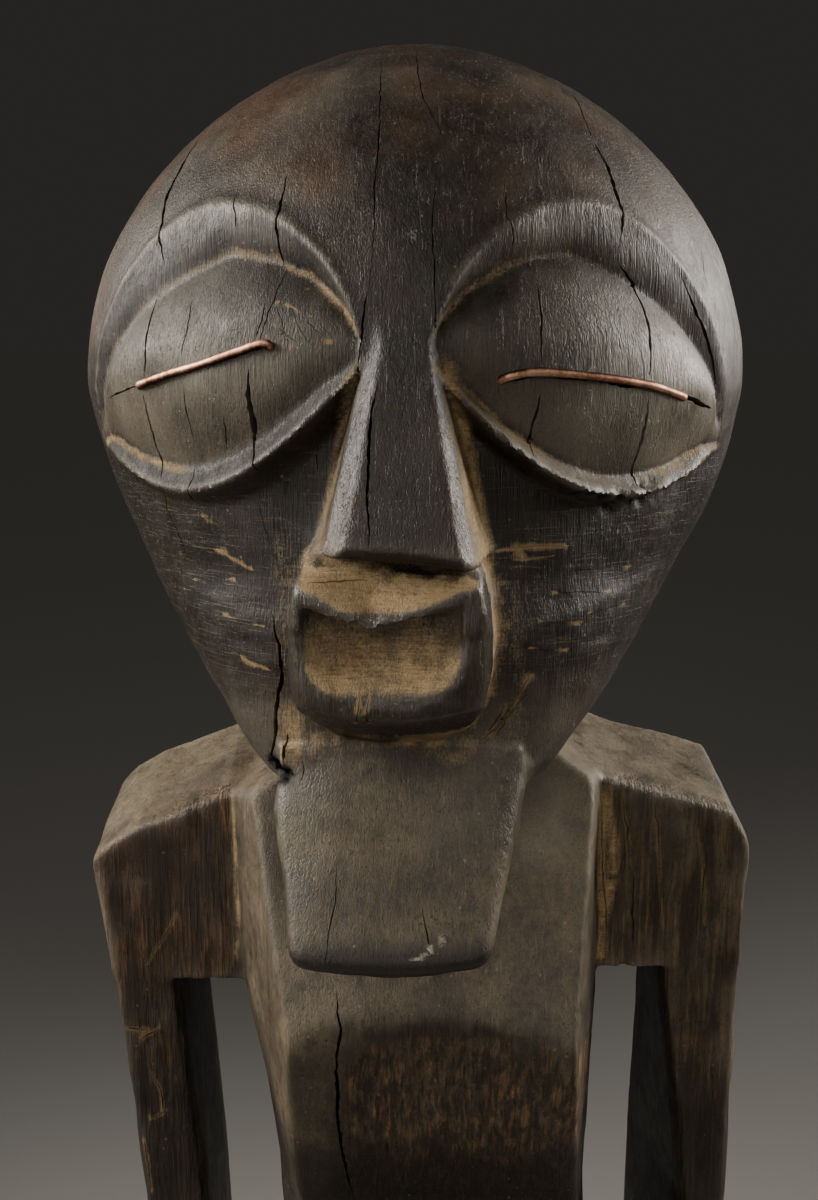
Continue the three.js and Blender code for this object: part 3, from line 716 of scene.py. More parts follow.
# Old checks run with the grain. Each is drawn as it is seen from the front, by its width,
# its depth and the places that it passes, across and up, and opened with a thin wedge.
CHECKS = [
    (1.1, 5, [(-46.5, 637.5), (-49, 630), (-52, 623.5), (-52.5, 616.5), (-51.5, 608.5)]),
    (0.4, 2, [(-35.5, 621.5), (-35, 618), (-35, 614)]),
    (0.7, 3, [(-24.5, 625.5), (-25.5, 619.5), (-26, 614), (-25.5, 607)]),
    (0.35, 1.5, [(-24.5, 607), (-26.5, 601), (-28, 597.5), (-30, 592)]),
    (0.3, 1.5, [(-6, 651.5), (-6, 641.5), (-6, 630.5), (-7, 614), (-8, 602.5)]),
    (0.5, 2.5, [(-8, 602.5), (-9, 597), (-9.5, 592), (-10, 587)]),
    (0.3, 1.2, [(1.5, 655.5), (2, 648.5), (3, 642), (6, 635.5), (7.5, 631)]),
    (0.3, 1.2, [(5.5, 625), (5.5, 615), (5.5, 602.5), (5, 595)]),
    (0.4, 2, [(36, 645.5), (37.5, 639), (39, 634)]),
    (1.1, 5, [(39, 634), (41.5, 628.5), (43, 623.5), (44, 618.5), (43.5, 613.5)]),
    (0.8, 4, [(43, 608.5), (46, 604.5), (48, 599), (49.5, 592), (49.5, 585)]),
    (0.9, 4, [(49.5, 581), (49, 575.5), (47.5, 568), (47, 558)]),
    (0.5, 2.5, [(25.5, 604), (26, 597), (26, 591), (26, 587)]),
    (0.6, 3, [(26, 583), (25.5, 578.5), (24.5, 574.5), (24, 568.5)]),
    (0.3, 1.2, [(19, 624.5), (19, 617.5), (20, 608.5)]),
    (0.7, 3.5, [(-53.5, 602), (-54.5, 596), (-55.5, 589.5), (-56, 584.5)]),
    (0.8, 3.5, [(-56.5, 582), (-56, 576), (-54.5, 569), (-53.5, 563)]),
    (0.35, 2, [(-44.5, 601), (-45.5, 595), (-47, 589)]),
    (0.45, 2.5, [(-46.5, 584), (-46, 578.5), (-45, 572.5)]),
    (0.4, 2, [(-28.5, 600.5), (-29.5, 596.5), (-30.5, 593)]),
    (1.2, 5, [(-32, 587.5), (-32, 583), (-31.5, 577), (-31.5, 572), (-31, 567)]),
    (0.35, 2, [(-31.5, 565), (-30.5, 558), (-28.5, 551), (-26.5, 544.5)]),
    (0.6, 4, [(-6, 585), (-7, 579), (-7, 573), (-7.5, 563.5), (-7.5, 554.5)]),
    (0.35, 1.5, [(-53.5, 562.5), (-53, 557), (-51, 551.5), (-48, 545)]),
    (1.0, 4, [(-28.5, 536.5), (-27.5, 530.5), (-27, 522.5), (-28.2, 514), (-28.6, 508), (-29.2, 503.5)]),
    (0.6, 2.5, [(-25.7, 511), (-26.2, 508), (-26.8, 504.5)]),
    (0.95, 7, [(-17, 442.5), (-16.5, 438.5), (-15.5, 435), (-17, 426.5), (-17.5, 410.5), (-16.5, 396.5),
              (-14, 379.5)]),
    (0.9, 4, [(-14, 379.5), (-12.5, 363), (-11, 346.5)]),
    (0.3, 1.2, [(-15, 487), (-15.5, 479.5), (-16.5, 473.5), (-17, 468.5)]),
    (0.3, 1.2, [(72.5, 603.5), (73.5, 594.5), (74.5, 587.5)]),
    (0.3, 1.2, [(64, 613), (64, 608), (64.5, 603)]),
    (0.3, 1.2, [(-18.5, 573), (-18.5, 570), (-18.5, 567)]),
    (0.35, 1.5, [(-38, 578), (-37.5, 574), (-37.5, 569.5)]),
    (0.3, 1.2, [(-45, 567), (-45.5, 563.5), (-45.5, 559)]),
    (0.3, 1.2, [(39.5, 596), (39.5, 592), (39.5, 588)]),
    (0.3, 1.0, [(2.5, 479.5), (3.5, 475.5), (4.5, 471)]),
    (0.4, 1.5, [(-22.5, 505), (-22.5, 502.5), (-23, 500.5)]),
    (0.5, 1.5, [(58, 458), (58, 447), (58.5, 435.5)]),
    (0.9, 2.0, [(57.5, 605.5), (60.5, 600.5), (64, 594.5), (66, 589), (67.5, 583)]),
]

# Scratches and knife slips are shallow and hold pale dust: across the cheeks, at the corner of
# the eye, in the cup of the mouth, and down the blocks and the arm.
SCRATCHES = [
    (0.6, 0.3, [(-60, 446), (-63, 440.5), (-68.5, 431.5)]),
    (0.7, 0.3, [(-19.5, 547.2), (-14, 547.6), (-8, 547.5)]),
    (0.5, 0.15, [(25.4, 524), (21.8, 517.5), (18.6, 513.2)]),
    (0.5, 0.15, [(22.6, 518.6), (18.6, 513), (14.8, 509.6)]),
    (0.45, 0.1, [(20.2, 517.8), (16.6, 511.6)]),
    (0.45, 0.1, [(24.6, 520), (20.6, 514.4), (17.6, 509.8)]),
    (0.5, 0.15, [(18.5, 550.6), (25, 551), (33, 550.6)]),
    (0.25, 0.15, [(22, 548.4), (30, 548.8)]),
    (0.25, 0.1, [(30, 541), (43, 539.8)]),
    (0.3, 0.1, [(27, 535.5), (36, 534)]),
    (0.22, 0.1, [(33, 545.5), (48, 544.5)]),
    (0.25, 0.1, [(25, 530), (33, 528.6)]),
    (0.22, 0.1, [(38, 536), (47, 536.4)]),
    (0.25, 0.1, [(-41, 549), (-33, 545.5)]),
    (0.25, 0.1, [(-47, 541), (-37, 543)]),
    (0.22, 0.1, [(-40, 535), (-30, 533.6)]),
    (0.25, 0.1, [(-44, 556), (-36, 553)]),
    (0.3, 0.1, [(-36, 526), (-29.5, 524.4)]),
    (0.22, 0.2, [(-26.4, 600.6), (-24.6, 596), (-23.2, 591.6)]),
    (0.22, 0.2, [(-24.2, 600), (-21.8, 596), (-19.2, 592)]),
    (0.2, 0.15, [(-22.4, 599), (-19, 595.4), (-15.4, 592.4)]),
    (0.2, 0.15, [(-26.6, 596), (-21, 591.8)]),
    (0.2, 0.15, [(-19.6, 597.6), (-14.2, 593)]),
    (0.5, 0.3, [(-9.5, 526.5), (-9.7, 523), (-10.5, 519.8)]),
    (0.4, 0.3, [(-7.6, 526), (-8, 523), (-8, 520)]),
    (0.7, 0.6, [(73.5, 476.5), (75.5, 460.5), (77, 442.5)]),
    (0.8, 0.6, [(48.7, 477), (50.2, 458), (51.5, 440)]),
    (0.6, 0.6, [(54.2, 479.5), (56.4, 462.5), (57.0, 444)]),
    (0.6, 0.5, [(62.7, 477), (64.8, 455), (66, 441.5)]),
    (0.8, 0.6, [(-75, 413), (-68.6, 412.5)]),
    (0.7, 0.6, [(-71.5, 409.5), (-66, 413.5)]),
    (0.7, 0.5, [(-69, 400.5), (-66.5, 395), (-66, 388)]),
    (0.8, 0.6, [(-70, 386), (-65, 389)]),
    (0.7, 0.5, [(-71.5, 380), (-70.5, 372), (-70, 364)]),
]

# Each eye has a slit across the lid that the wire is pressed into. It is drawn by the
# distance round the head and the height of each turn. The last stretch is an open cut, only
# as wide as a knife's edge on the figure's right.
SLITS = {
    -1: [(26.3, 592.1), (41.0, 588.6), (51.0, 586.0), (61.3, 583.3), (78.5, 579.7)],
    1: [(20.6, 585.0), (29.3, 586.7), (42.7, 585.7), (55.5, 583.8), (66.0, 581.0), (78.7, 578.0)],
}
SLIT_WIDTH = 1.8
SLIT_DEPTH = 2.6
OPEN_WIDTH = {-1: 0.5, 1: 1.2}
OPEN_DEPTH = 2.5
FIRST_SEED = 40


def seen_from_front(places):
    depths = np.arange(-96.0, 30.0, 0.5)
    spots = []
    for across, up in places:
        line = np.stack([np.full(len(depths), across), depths, np.full(len(depths), up)], axis=1)
        first = int(np.argmax(pointwise(line) < 0.0))
        spots.append((across, depths[first], up))
    return np.array(spots, dtype=float)


def round_the_head(side, places):
    spots = []
    for distance, up in places:
        angle = FACE_TURN + side * distance / FACE_ARC
        middle, broad, front, _ = head_level(np.array(up))
        radius = 1.0 / math.hypot(math.sin(angle) / broad, math.cos(angle) / front)
        spots.append((HEAD_X + radius * math.sin(angle), float(middle) - radius * math.cos(angle), up))
    return settle(np.array(spots), 4)


# A blade that opens one check: a wedge that follows the surface along the line drawn, wanders
# a little from side to side as split wood does, and fades out at both ends.
BLADE_STEP = 1.3
BLADE_LIFT = 1.2


def wedge(points, width, depth, seed):
    rng = np.random.default_rng(seed)
    gaps = np.linalg.norm(np.diff(points, axis=0), axis=1)
    where = np.concatenate([[0.0], np.cumsum(gaps)])
    count = max(4, int(where[-1] / BLADE_STEP))
    line = np.linspace(0.0, where[-1], count + 1)
    path = settle(np.stack([np.interp(line, where, points[:, c]) for c in range(3)], axis=1), 4)
    wander = np.cumsum(rng.normal(0.0, 0.11, count + 1))
    wander = wander - np.linspace(wander[0], wander[-1], count + 1) + rng.normal(0.0, 0.07, count + 1)
    normal = unit(gradient(path))
    aside = unit(np.cross(normal, unit(np.gradient(path, axis=0))))
    path = settle(path + aside * wander[:, None], 2)
    share = np.sin(np.linspace(0.0, math.pi, count + 1)) ** 0.5
    half = 0.5 * width * (0.1 + share * rng.uniform(0.45, 1.15, count + 1))
    spread = (half * (1.0 + BLADE_LIFT / (depth + 0.5)))[:, None]
    low = path - normal * (0.25 + depth * share)[:, None]
    over = path + normal * BLADE_LIFT
    rings = np.stack([over + aside * spread, over - aside * spread, low], axis=1)
    faces = [(0, 1, 2), (3 * count, 3 * count + 2, 3 * count + 1)]
    for i in range(count):
        a, b = 3 * i, 3 * i + 3
        for p, q in ((0, 1), (1, 2), (2, 0)):
            faces.append((a + p, b + p, b + q))
            faces.append((a + p, b + q, a + q))
    return rings.reshape(-1, 3), np.array(faces)


cuts = [(width, depth, seen_from_front(places)) for width, depth, places in CHECKS]
cuts += [(SLIT_WIDTH, SLIT_DEPTH, round_the_head(side, places[:-1])) for side, places in SLITS.items()]
cuts += [(OPEN_WIDTH[side], OPEN_DEPTH, round_the_head(side, SLITS[side][-2:])) for side in SLITS]
scratch_paths = [(width, depth, seen_from_front(places)) for width, depth, places in SCRATCHES]
work = bmesh.new()
for number, (width, depth, points) in enumerate(cuts + scratch_paths):
    rings, faces = wedge(points, width, depth, FIRST_SEED + number)
    corners = [work.verts.new(corner * MM) for corner in rings]
    for face in faces:
        work.faces.new([corners[i] for i in face])
bmesh.ops.recalc_face_normals(work, faces=work.faces)
blade_mesh = bpy.data.meshes.new("blade")
work.to_mesh(blade_mesh)
work.free()
blade = put_in_scene("blade", blade_mesh)
opened = wood.modifiers.new("checks", "BOOLEAN")
opened.operation = "DIFFERENCE"
opened.object = blade
opened.solver = "MANIFOLD"
done = bpy.data.meshes.new_from_object(wood.evaluated_get(bpy.context.evaluated_depsgraph_get()))
wood.modifiers.clear()
wood.data = done
bpy.data.objects.remove(blade)


# What years of handling leave on the wood, with painted light and shade among it: ochre dust
# packed in the grooves, a tan film on what faces up that is partly painted light and sheen, edges
# rubbed pale with painted highlights along the brows and rims, brown where the black has worn
# off, soot, and painted shade in the hollows and wherever the face turns from the lamps. Each is
# a share from nought to one, kept on the vertices for the finish to read.
# A vertex that lies deeper than CHECK_WALL is on the dark wall of a check, where no dust shows.
CHECK_WALL = -0.9
FAR_OFF = 99.0
spots = np.empty(len(done.vertices) * 3, dtype=np.float32)
done.vertices.foreach_get("co", spots)
spots = spots.reshape(-1, 3).astype(float) / MM
on_skin = pointwise(spots) > CHECK_WALL
outward = unit(gradient(spots, 0.5))
facing_up = outward[:, 2]
x, y, z = spots.T
patchy = lattice_noise(spots, (9.0, 9.0, 12.0), 31)
ragged = lattice_noise(spots, (2.2, 2.2, 5.0), 32)


def hidden(reach):
    return clamp(1.0 - pointwise(spots + outward * reach) / reach)


def proud(reach):
    return clamp(1.0 + pointwise(spots - outward * reach) / reach)


def between(value, low, high, soft):
    return clamp((value - low) / soft) * clamp((high - value) / soft)


def near_line(points):
    nearest = np.full(len(spots), FAR_OFF)
    for a, b in zip(points[:-1], points[1:]):
        share = clamp((spots - a) @ (b - a) / max(float((b - a) @ (b - a)), 1e-6))
        nearest = np.minimum(nearest, np.linalg.norm(spots - a - share[:, None] * (b - a), axis=1))
    return nearest


hollow = 0.5 * hidden(4.0) + 0.5 * hidden(11.0)
edge = clamp(1.7 * proud(1.4) + 0.6 * proud(3.5))
turn = (head_polar(x, y, z)[2] - FACE_TURN) * FACE_ARC
s = np.abs(turn)
own_right = turn < 0


def by_side(right, left):
    return np.where(own_right, right, left)


low_line, under_line, over_line, high_line = eye_lines(np.clip(s, 7.5, 88.0) * by_side(-1.0, 1.0))
eyes = between(s, 5.0, 90.0, 3.0) * between(z, 545.0, 626.0, 4.0) * (y < 20)

# Dust round the eyes: in the groove over each lid and in the valley inside each rim.
groove = eyes * bell(z, over_line + 0.2 + ragged, 1.7)
groove *= by_side(0.72 - s / 300.0, 0.75 - s / 140.0)
valley = eyes * bell(z, under_line - 0.4 + 0.7 * ragged, 1.3)
valley *= by_side(np.clip((s - 44.0) / 14.0, 0.3, 0.8), np.where((s < 34) | (s > 64), 0.72, 0.5))
rim_film = eyes * between(z, low_line, under_line, 1.2)
rim_film *= by_side(clamp((s - 46.0) / 14.0) * 0.15, 0.6)

# Dust beside the nose and the mouth, on the slope from nose to lip and in the cup. Under the
# upper lip it is thinned by a painted shadow, and just under the foot of the nose another painted
# shadow thins the dust on the slope. The lips and the foot of the nose keep clear of it.
across, out = face_axes(x, y)
beside = np.abs(across - 1.0) - half_nose(np.minimum((NOSE_ROOT - z) / NOSE_LENGTH, 1.1))
gutter = bell(beside, 2.0 + 0.5 * ragged, 2.2) * between(z, 545.0, 594.0, 7.0)
gutter *= between(np.abs(across), 4.0, 28.0, 1.0) * (y < -50) * np.where(across > 0, 1.0, 0.62)
cup_side = clamp(1.6 - np.abs(mouth_field(across, out, z)) / 1.6) * (out < 76.0)
cup_side *= between(z, 503.0, 556.0, 4.0) * (y < -44) * np.where(across > 0, 0.95, 0.6) * (0.8 + 0.4 * ragged)
slope_dust = between(np.abs(across + 0.5), -1.0, 18.5, 2.0) * between(z, 538.0, 557.0, 2.0) * (out > 68)
slope_dust *= clamp(facing_up * 2.6 - 0.6) * clamp((z - 541.0) / 2.0)
lip_foot = UPPER_LIP - LIP_DIP * lip_notch(across + 0.7)
bowl = (out > 70) * (z < lip_foot + 0.2) * clamp(0.4 - mouth_hollow(across + 0.7, z))
bowl *= clamp((90.4 - out) / 1.2)
bowl_dust = bowl * (0.84 + 0.3 * ragged + 0.15 * patchy)
slope_dust *= 1.0 + 0.25 * ragged
# A painted shadow in the top of the cup, under the upper lip.
lip_shadow = bowl * clamp((z - 530.0 + 4.0 * patchy + 2.0 * ragged) / 10.0)
lips = between(out, 69.0, 200.0, 2.0) * between(np.abs(across + 0.7), -1.0, 22.5, 1.0)
lips *= between(z, 504.0, 549.5, 2.0) * (1.0 - clamp(bowl + slope_dust)) * (y < -55)
nose_foot = clamp(-facing_up * 3.0 - 0.6) * between(z, 548.5, 558.0, 1.0)
nose_foot *= (out > 80) & (np.abs(across) < 18)
# A painted shadow just under the foot of the nose, where the dust is thinned.
nose_shade = np.clip((z - 549.2 + 0.075 * across + 2.4 * ragged) / 1.4, 0.0, 0.75)

# Dust under the chin and up the jaw, in the knife marks, down the inner edges of the shoulder
# blocks, round the neck, on the base and thinly in any other corner.
chin = between(z, 503.0, 513.0, 2.5) * between(np.abs(across), -1.0, 26.0, 5.0) * (y < -50)
chin *= 0.45 + 0.3 * ragged
jaw_side = between(z, 500.0, 560.0, 8.0) * bell(np.abs(across), 24.5 + 2.0 * ragged, 4.0) * (y < -42) * 0.42
jaw_front = between(z, 501.0, 521.0, 5.0) * bell(across, -22.6 + ragged, 4.0) * (y < -42) * 0.8
clawed = bell(across, 15.0 + ragged, 4.0) * bell(z, 509.0, 3.0) * (y < -42) * 0.7
seam = between(z, 425.0, 482.0, 8.0) * (y < 3) * bell(x, -44.5 + 0.8 * ragged, 1.1) * 0.72
inner_strip = between(z, 428.0, 484.0, 6.0) * (y < 3) * bell(x, 50.6 + 1.8 * ragged, 2.6)
inner_strip *= 1.0 + 0.35 * ragged
collar = between(z, 466.0, 520.0, 8.0) * (np.abs(x) < 44) * (y > -44) * np.clip(hollow * 1.5, 0.0, 0.6)
base_dust = np.where(z < 66, clamp(facing_up) * 0.4, 0.0)
plain = np.clip(hidden(1.6) * 1.2 - 0.35, 0.0, 0.5)
dust = np.max([
    groove, valley, gutter, cup_side, slope_dust * (1.0 - nose_shade), bowl_dust, chin, jaw_side,
    jaw_front, clawed, seam, inner_strip, collar, base_dust, plain,
], axis=0)

# Scratches hold pale dust, less of it down on the blocks and the arms.
scratched = np.zeros(len(spots))
for width, _, points in scratch_paths:
    pale = 0.62 if points[0, 2] < 480.0 else 1.0
    scratched = np.maximum(scratched, clamp(1.8 - near_line(points) / width) * pale)
scratched = np.maximum(scratched, slope_dust * clamp((549.0 - z) / 3.0) * (0.5 + 0.35 * patchy))

# A tan film on the tops of the shoulders, the chest, the arms, the beard and the lids. Part of it
# is painted light: on the coves of the figure's left eye, on the lids in place of a sheen, and
# heavier on the chest under the jaw, where it is shaded.
tops = (np.abs(x) > 22) * between(z, 446.0, 502.0, 4.0) * clamp(facing_up * 2.0 - 0.6)
on_chest = clamp((z - ledge_height(x) - 2.5 * ragged) / 4.0)
on_chest *= (z < 492) & (np.abs(x - 1.5) < 47.5) & (y < 10)
own_side = clamp(-outward[:, 0] * 2.0)
strip = between(x, -36.0, -17.5, 3.0) * between(z, 340.0, 430.0, 10.0) * (y < -10) * 0.6
on_arms = np.where(x > 0, 0.5, 0.12)
on_waist = 0.3 * clamp((z - 380.0) / 20.0)
strip = np.maximum(strip, (y < -5) * (z > 320) * (z < 432) * np.where(np.abs(x) > 48, on_arms, on_waist))
down_beard = beard_axes(y, z)[0]
on_beard = (np.abs(beard_field(x, y, z)) < 1.5) * between(z, 460.0, 512.0, 1.0)
beard = on_beard * clamp((41.5 - down_beard) / 3.0) * 0.5
beard_foot = on_beard * clamp((down_beard - 37.6) / 3.0)
cove_film_and_light = eyes * between(z, over_line, high_line - 1.0, 1.5) * by_side(0.0, 0.3)
lids = eyes * between(z, under_line, over_line, 2.0)
lid_film_and_sheen = lids * by_side(np.clip(0.2 + (z - 588.0) / 60.0, 0.16, 0.26), 0.3)
block_front = (np.abs(x - 1.0) > 46) * between(z, 424.0, 484.0, 3.0) * (y < 0) * np.where(x > 0, 0.55, 0.0)
# Painted light on the shaded top of the chest on the figure's left, under the jaw.
shaded_chest_fill = clamp((x - 24.0) / 10.0) * clamp((z - 462.0) / 16.0)
on_chest *= 0.5 + 0.1 * own_side + 0.35 * shaded_chest_fill
film_and_light = np.max([tops, block_front, on_chest, strip, beard, cove_film_and_light, lid_film_and_sheen, rim_film], axis=0)
film_and_light = clamp(film_and_light * (0.9 + 0.6 * patchy))

# Brown wood shows on the forehead, on the blocks and on the cheeks. At the top of the cup, under
# the upper lip, the brown is a painted shadow.
forehead = clamp((z - high_line + 2.0) / 8.0) * (z > 590) * clamp((40.0 - y) / 30.0)
brown = clamp(forehead * (0.5 + 0.9 * patchy))
blocks = (np.abs(x - 1.0) > 46) * (z > 420) * (z < 486) * (y < 0) * np.where(x > 0, 0.2, 0.6)
worn_cheeks = 0.55 * (y < 30) * (z < low_line) * (z > 508) * clamp(0.5 + patchy)
brown = np.max([brown, 0.75 * lip_shadow, blocks, worn_cheeks], axis=0)

# A dark coat of soot and painted shade. Dark patches lie at random down the blocks, and the lips,
# the figure's right arm and the left edge of the chest are darker. The rest is painted shade: in
# the hollows, under the jaw, the foot of the beard and the foot of the nose, in the coves over the
# lids, on the upper lids and the outer rims, on the cheeks with a painted shadow under the rim
# beside the nose, down the bridge and the front of the nose, over the brows, on the inner sides
# of the arms and on the belly under the ledge.
on_lids = eyes * between(z, low_line, over_line, 1.0)
off_lids = 1.0 - 0.8 * on_lids
upper_lids = on_lids * clamp((z - 590.0) / 12.0) * by_side(0.5, 0.3)
coves = eyes * between(z, over_line + 1.5, high_line - 0.8, 2.0)
coves *= by_side(0.6, 0.2 + 0.35 * clamp((s - 36.0) / 12.0))
on_rims = eyes * between(z, low_line + 1.0, under_line - 0.4, 0.8)
outer_rims = on_rims * by_side(1.4, clamp((s - 30.0) / 12.0))
cheeks = (y < 30) * between(z, 512.0, 590.0, 14.0) * clamp((low_line - z) / 3.0) * (out < 80)
# A painted shadow under the rim of the figure's left eye, beside the nose.
shadow_below_rim = (s < 30) * (s > 12) * (turn > 0) * between(z, 552.0, 578.0, 8.0) * (z < low_line)
bridge = between(s, -1.0, 12.0, 3.0) * between(z, 584.0, 612.0, 8.0) * (y < 0) * 0.8
nose_front = between(beside, -18.0, -1.6, 1.5) * between(z, 553.0, 600.0, 4.0) * (out > 72) * 0.55
brow_shade = bell(turn, 18.0, 34.0) * between(z, 604.0, 660.0, 8.0) * (y < 0) * (z > high_line)
brow_shade *= 0.3 - 0.3 * patchy
under_jaw = clamp(-facing_up * 1.6 - 0.1) * (z < 600) * (z > 340)
inner_arm = clamp(-outward[:, 0] * np.sign(x) * 2.0 - 0.5)
inner_arm *= (np.abs(x) > 48) & (z < 446) & (z > 325)
right_arm = 0.45 * (x < -48) * between(z, 325.0, 436.0, 8.0)
block_dark = (np.abs(x - 1.0) > 47) * (y < 0) * between(z, 300.0, 484.0, 6.0)
block_dark *= np.clip(-1.5 * lattice_noise(spots, (4.0, 8.0, 16.0), 33) - 0.25, 0.0, 0.7)
chest_edge = bell(x, 47.2, 2.6) * between(z, 385.0, 486.0, 6.0) * (y < 0)
belly_shade = np.clip((405.0 + 6.0 * patchy - z) / 14.0, 0.0, 0.9) * (z > 325) * (y < 0)
soot_and_shade = np.max([
    clamp(hollow * 1.9 - 0.25) * 0.8 * off_lids, under_jaw * 0.6 * off_lids, upper_lids,
    coves * (1.0 + 0.8 * patchy), outer_rims * (0.5 + 0.4 * ragged), cheeks * 0.95, shadow_below_rim, bridge,
    nose_front, brow_shade, lips * 0.75, nose_foot, beard_foot, inner_arm, right_arm,
    block_dark, 0.6 * chest_edge, belly_shade,
], axis=0)

# Hands have polished the lips, the lower lids, the beard's sides and the nose. The coves, the
# upper lid and the rim on the figure's right are duller.
scored = np.maximum(cheeks, bowl)
beard_sides = np.maximum(bell(x, -20.0, 8.0), bell(x, 20.5, 4.0))
beard_sides *= on_beard * clamp((34.0 - down_beard) / 10.0) * 0.9
nose_flank = between(beside, -16.0, 1.5, 1.0) * between(z, 555.0, 584.0, 6.0) * (out > 70) * 0.3
low_lids = lids * clamp((596.0 - z) / 12.0)
polish = np.max([lips * 1.5, low_lids, beard_sides, nose_flank, edge * 0.6 * (1.0 - on_rims)], axis=0)
dull = own_right * np.max([1.3 * on_rims, lids * clamp((z - 592.0) / 12.0), coves], axis=0)
polish = polish - dull

# Edges are rubbed pale, less on the beard, the trunk and the rim of the figure's right eye. Along
# each brow the pale line is also a painted highlight, and painted highlights run along the foot
# of each rim. The lower lids carry a painted reflection, the rim of the figure's left eye painted
# light, and the shaded chest under the chin painted light.
softer = np.where((on_beard > 0) | ((z < 495) & (np.abs(x) < 47)), 0.35, 1.0)
rubbed_and_highlight = np.maximum(edge * softer, eyes * bell(z, high_line + 0.4, 1.0) * (0.75 + 0.6 * ragged))
rubbed_and_highlight *= np.where(own_right & (z < under_line) & (z > low_line - 2.0), 0.15, 1.0)
rim_highlight = eyes * bell(z, low_line + 0.6, 0.8) * (0.7 + 0.5 * ragged) * by_side(0.5, 1.3)
rubbed_and_highlight = np.maximum(rubbed_and_highlight, rim_highlight)
under_chin = between(x, 20.0, 43.0, 7.0) * between(z, 464.0, 494.0, 8.0) * (y > -44) * (y < 0)
lid_painted_reflection = lids * clamp((598.0 - z) / 14.0) * by_side(0.65, 0.95)
lid_painted_reflection *= 1.0 + 0.8 * patchy
rim_painted_light = eyes * between(z, low_line, under_line, 0.8) * by_side(0.0, 0.5 + 0.5 * ragged)
rubbed_and_highlight = np.max([rubbed_and_highlight * (1.0 - 0.8 * chest_edge), 0.9 * under_chin, lid_painted_reflection, rim_painted_light], axis=0)

# Pale splashes, one on the forehead and three at the foot of the beard.
SPLASHES = (((1.8, 613.4), 1.3), ((2.0, 470.6), 1.1), ((4.4, 472.0), 1.0), ((7.3, 473.6), 1.3))
splash = np.zeros(len(spots))
for place, size in SPLASHES:
    splash = np.maximum(splash, bell(np.hypot(x - place[0], z - place[1]), 0.0, size) * (y < -40))

# The broken-out hole at the corner of the jaw takes the near-black of the check walls, a painted shade.
marks = {
    "dust": np.where(on_skin, dust * (1.0 - 0.4 * lip_shadow), 0.0), "scratched": scratched, "film_and_light": film_and_light,
    "brown": brown, "soot_and_shade": soot_and_shade, "polish": polish, "rubbed_and_highlight": rubbed_and_highlight, "torn": torn_share(spots),
    "splash": splash, "scored": scored,
    "check": np.where(on_skin, clamp(1.0 - broken_corner(x, y, z) / 0.9), 1.0),
}
for label, values in marks.items():
    layer = done.attributes.new(label, "FLOAT", "POINT")
    layer.data.foreach_set("value", np.asarray(values, dtype=np.float32))
SHARP_ANGLE = 48.0
done.polygons.foreach_set("use_smooth", np.ones(len(done.polygons), dtype=bool))
done.set_sharp_from_angle(angle=math.radians(SHARP_ANGLE))


# Dense dark hardwood, carved, scraped and handled for years: nearly black, with brown
# showing through in streaks, a soft waxy sheen and dust that clings to the fibres.
def linear(code):
    values = [int(code[i:i + 2], 16) / 255.0 for i in (1, 3, 5)]
    return [v / 12.92 if v <= 0.04045 else ((v + 0.055) / 1.055) ** 2.4 for v in values] + [1.0]


def plug(tree, made, sockets):
    for key, value in sockets.items():
        if isinstance(value, bpy.types.NodeSocket):
            tree.links.new(value, made.inputs[key])
        else:
            made.inputs[key].default_value = value


# Adds one node. A colour ramp is made with two stops, so its two ends come first in stops.
def node(tree, kind, sockets=None, out=0, **settings):
    made = tree.nodes.new("ShaderNode" + kind)
    stops = settings.pop("stops", ())
    for name, value in settings.items():
        setattr(made, name, value)
    for place, (where, value) in enumerate(stops):
        element = made.color_ramp.elements[place] if place < 2 else made.color_ramp.elements.new(where)
        element.position = where
        element.color = linear(value) if isinstance(value, str) else (value, value, value, 1.0)
    plug(tree, made, sockets or {})
    return made.outputs[out]


def new_material(name):
    material = bpy.data.materials.new(name)
    material.use_nodes = True
    return material, material.node_tree, material.node_tree.nodes["Principled BSDF"]


hardwood, tree, shader = new_material("handled_dark_hardwood")
place = node(tree, "TexCoord", out="Object")
mark = {}
for label in marks:
    mark[label] = node(tree, "Attribute", out="Fac", attribute_name=label)

# Grain runs up the block: fibres 0.3 mm wide, short open pores, streaks of 1.5 mm, hairline
# checks 2.6 mm apart, splinters of 0.9 mm where it is torn, grit of 0.5 mm and clouds of 5 mm.
# Rubbing and scraping leave faint strokes and scuffs across it. Sizes are in millimetres,
# across, deep and up.
grain = {}
for label, size, detail, rough, twist in (
    ("fibre", (0.32, 0.32, 6.0), 2.0, 0.6, 0.0), ("streak", (1.5, 1.5, 34.0), 4.0, 0.6, 0.3),
    ("splinter", (0.9, 6.0, 9.0), 4.0, 0.62, 0.3), ("pore", (0.35, 0.35, 1.6), 1.0, 0.5, 0.1),
    ("grit", (0.45, 0.45, 0.6), 3.0, 0.7, 0.0), ("cloud", (5.0, 5.0, 6.0), 6.0, 0.72, 0.25),
    ("stroke", (9.0, 9.0, 0.5), 3.0, 0.6, 1.2), ("scuff", (0.45, 6.0, 6.0), 3.0, 0.65, 0.9),
    ("hairline", (2.6, 2.6, 40.0), 3.0, 0.6, 0.0),
):
    lean = (0.0, 0.55, 0.3) if label == "scuff" else (0.0, 0.0, 0.0)
    scale = [1.0 / (v * MM) for v in size]
    scaled = node(tree, "Mapping", {"Vector": place, "Rotation": lean, "Scale": scale})
    grain[label] = node(tree, "TexNoise", {
        "Vector": scaled, "Scale": 1.0, "Detail": detail, "Roughness": rough, "Distortion": twist})

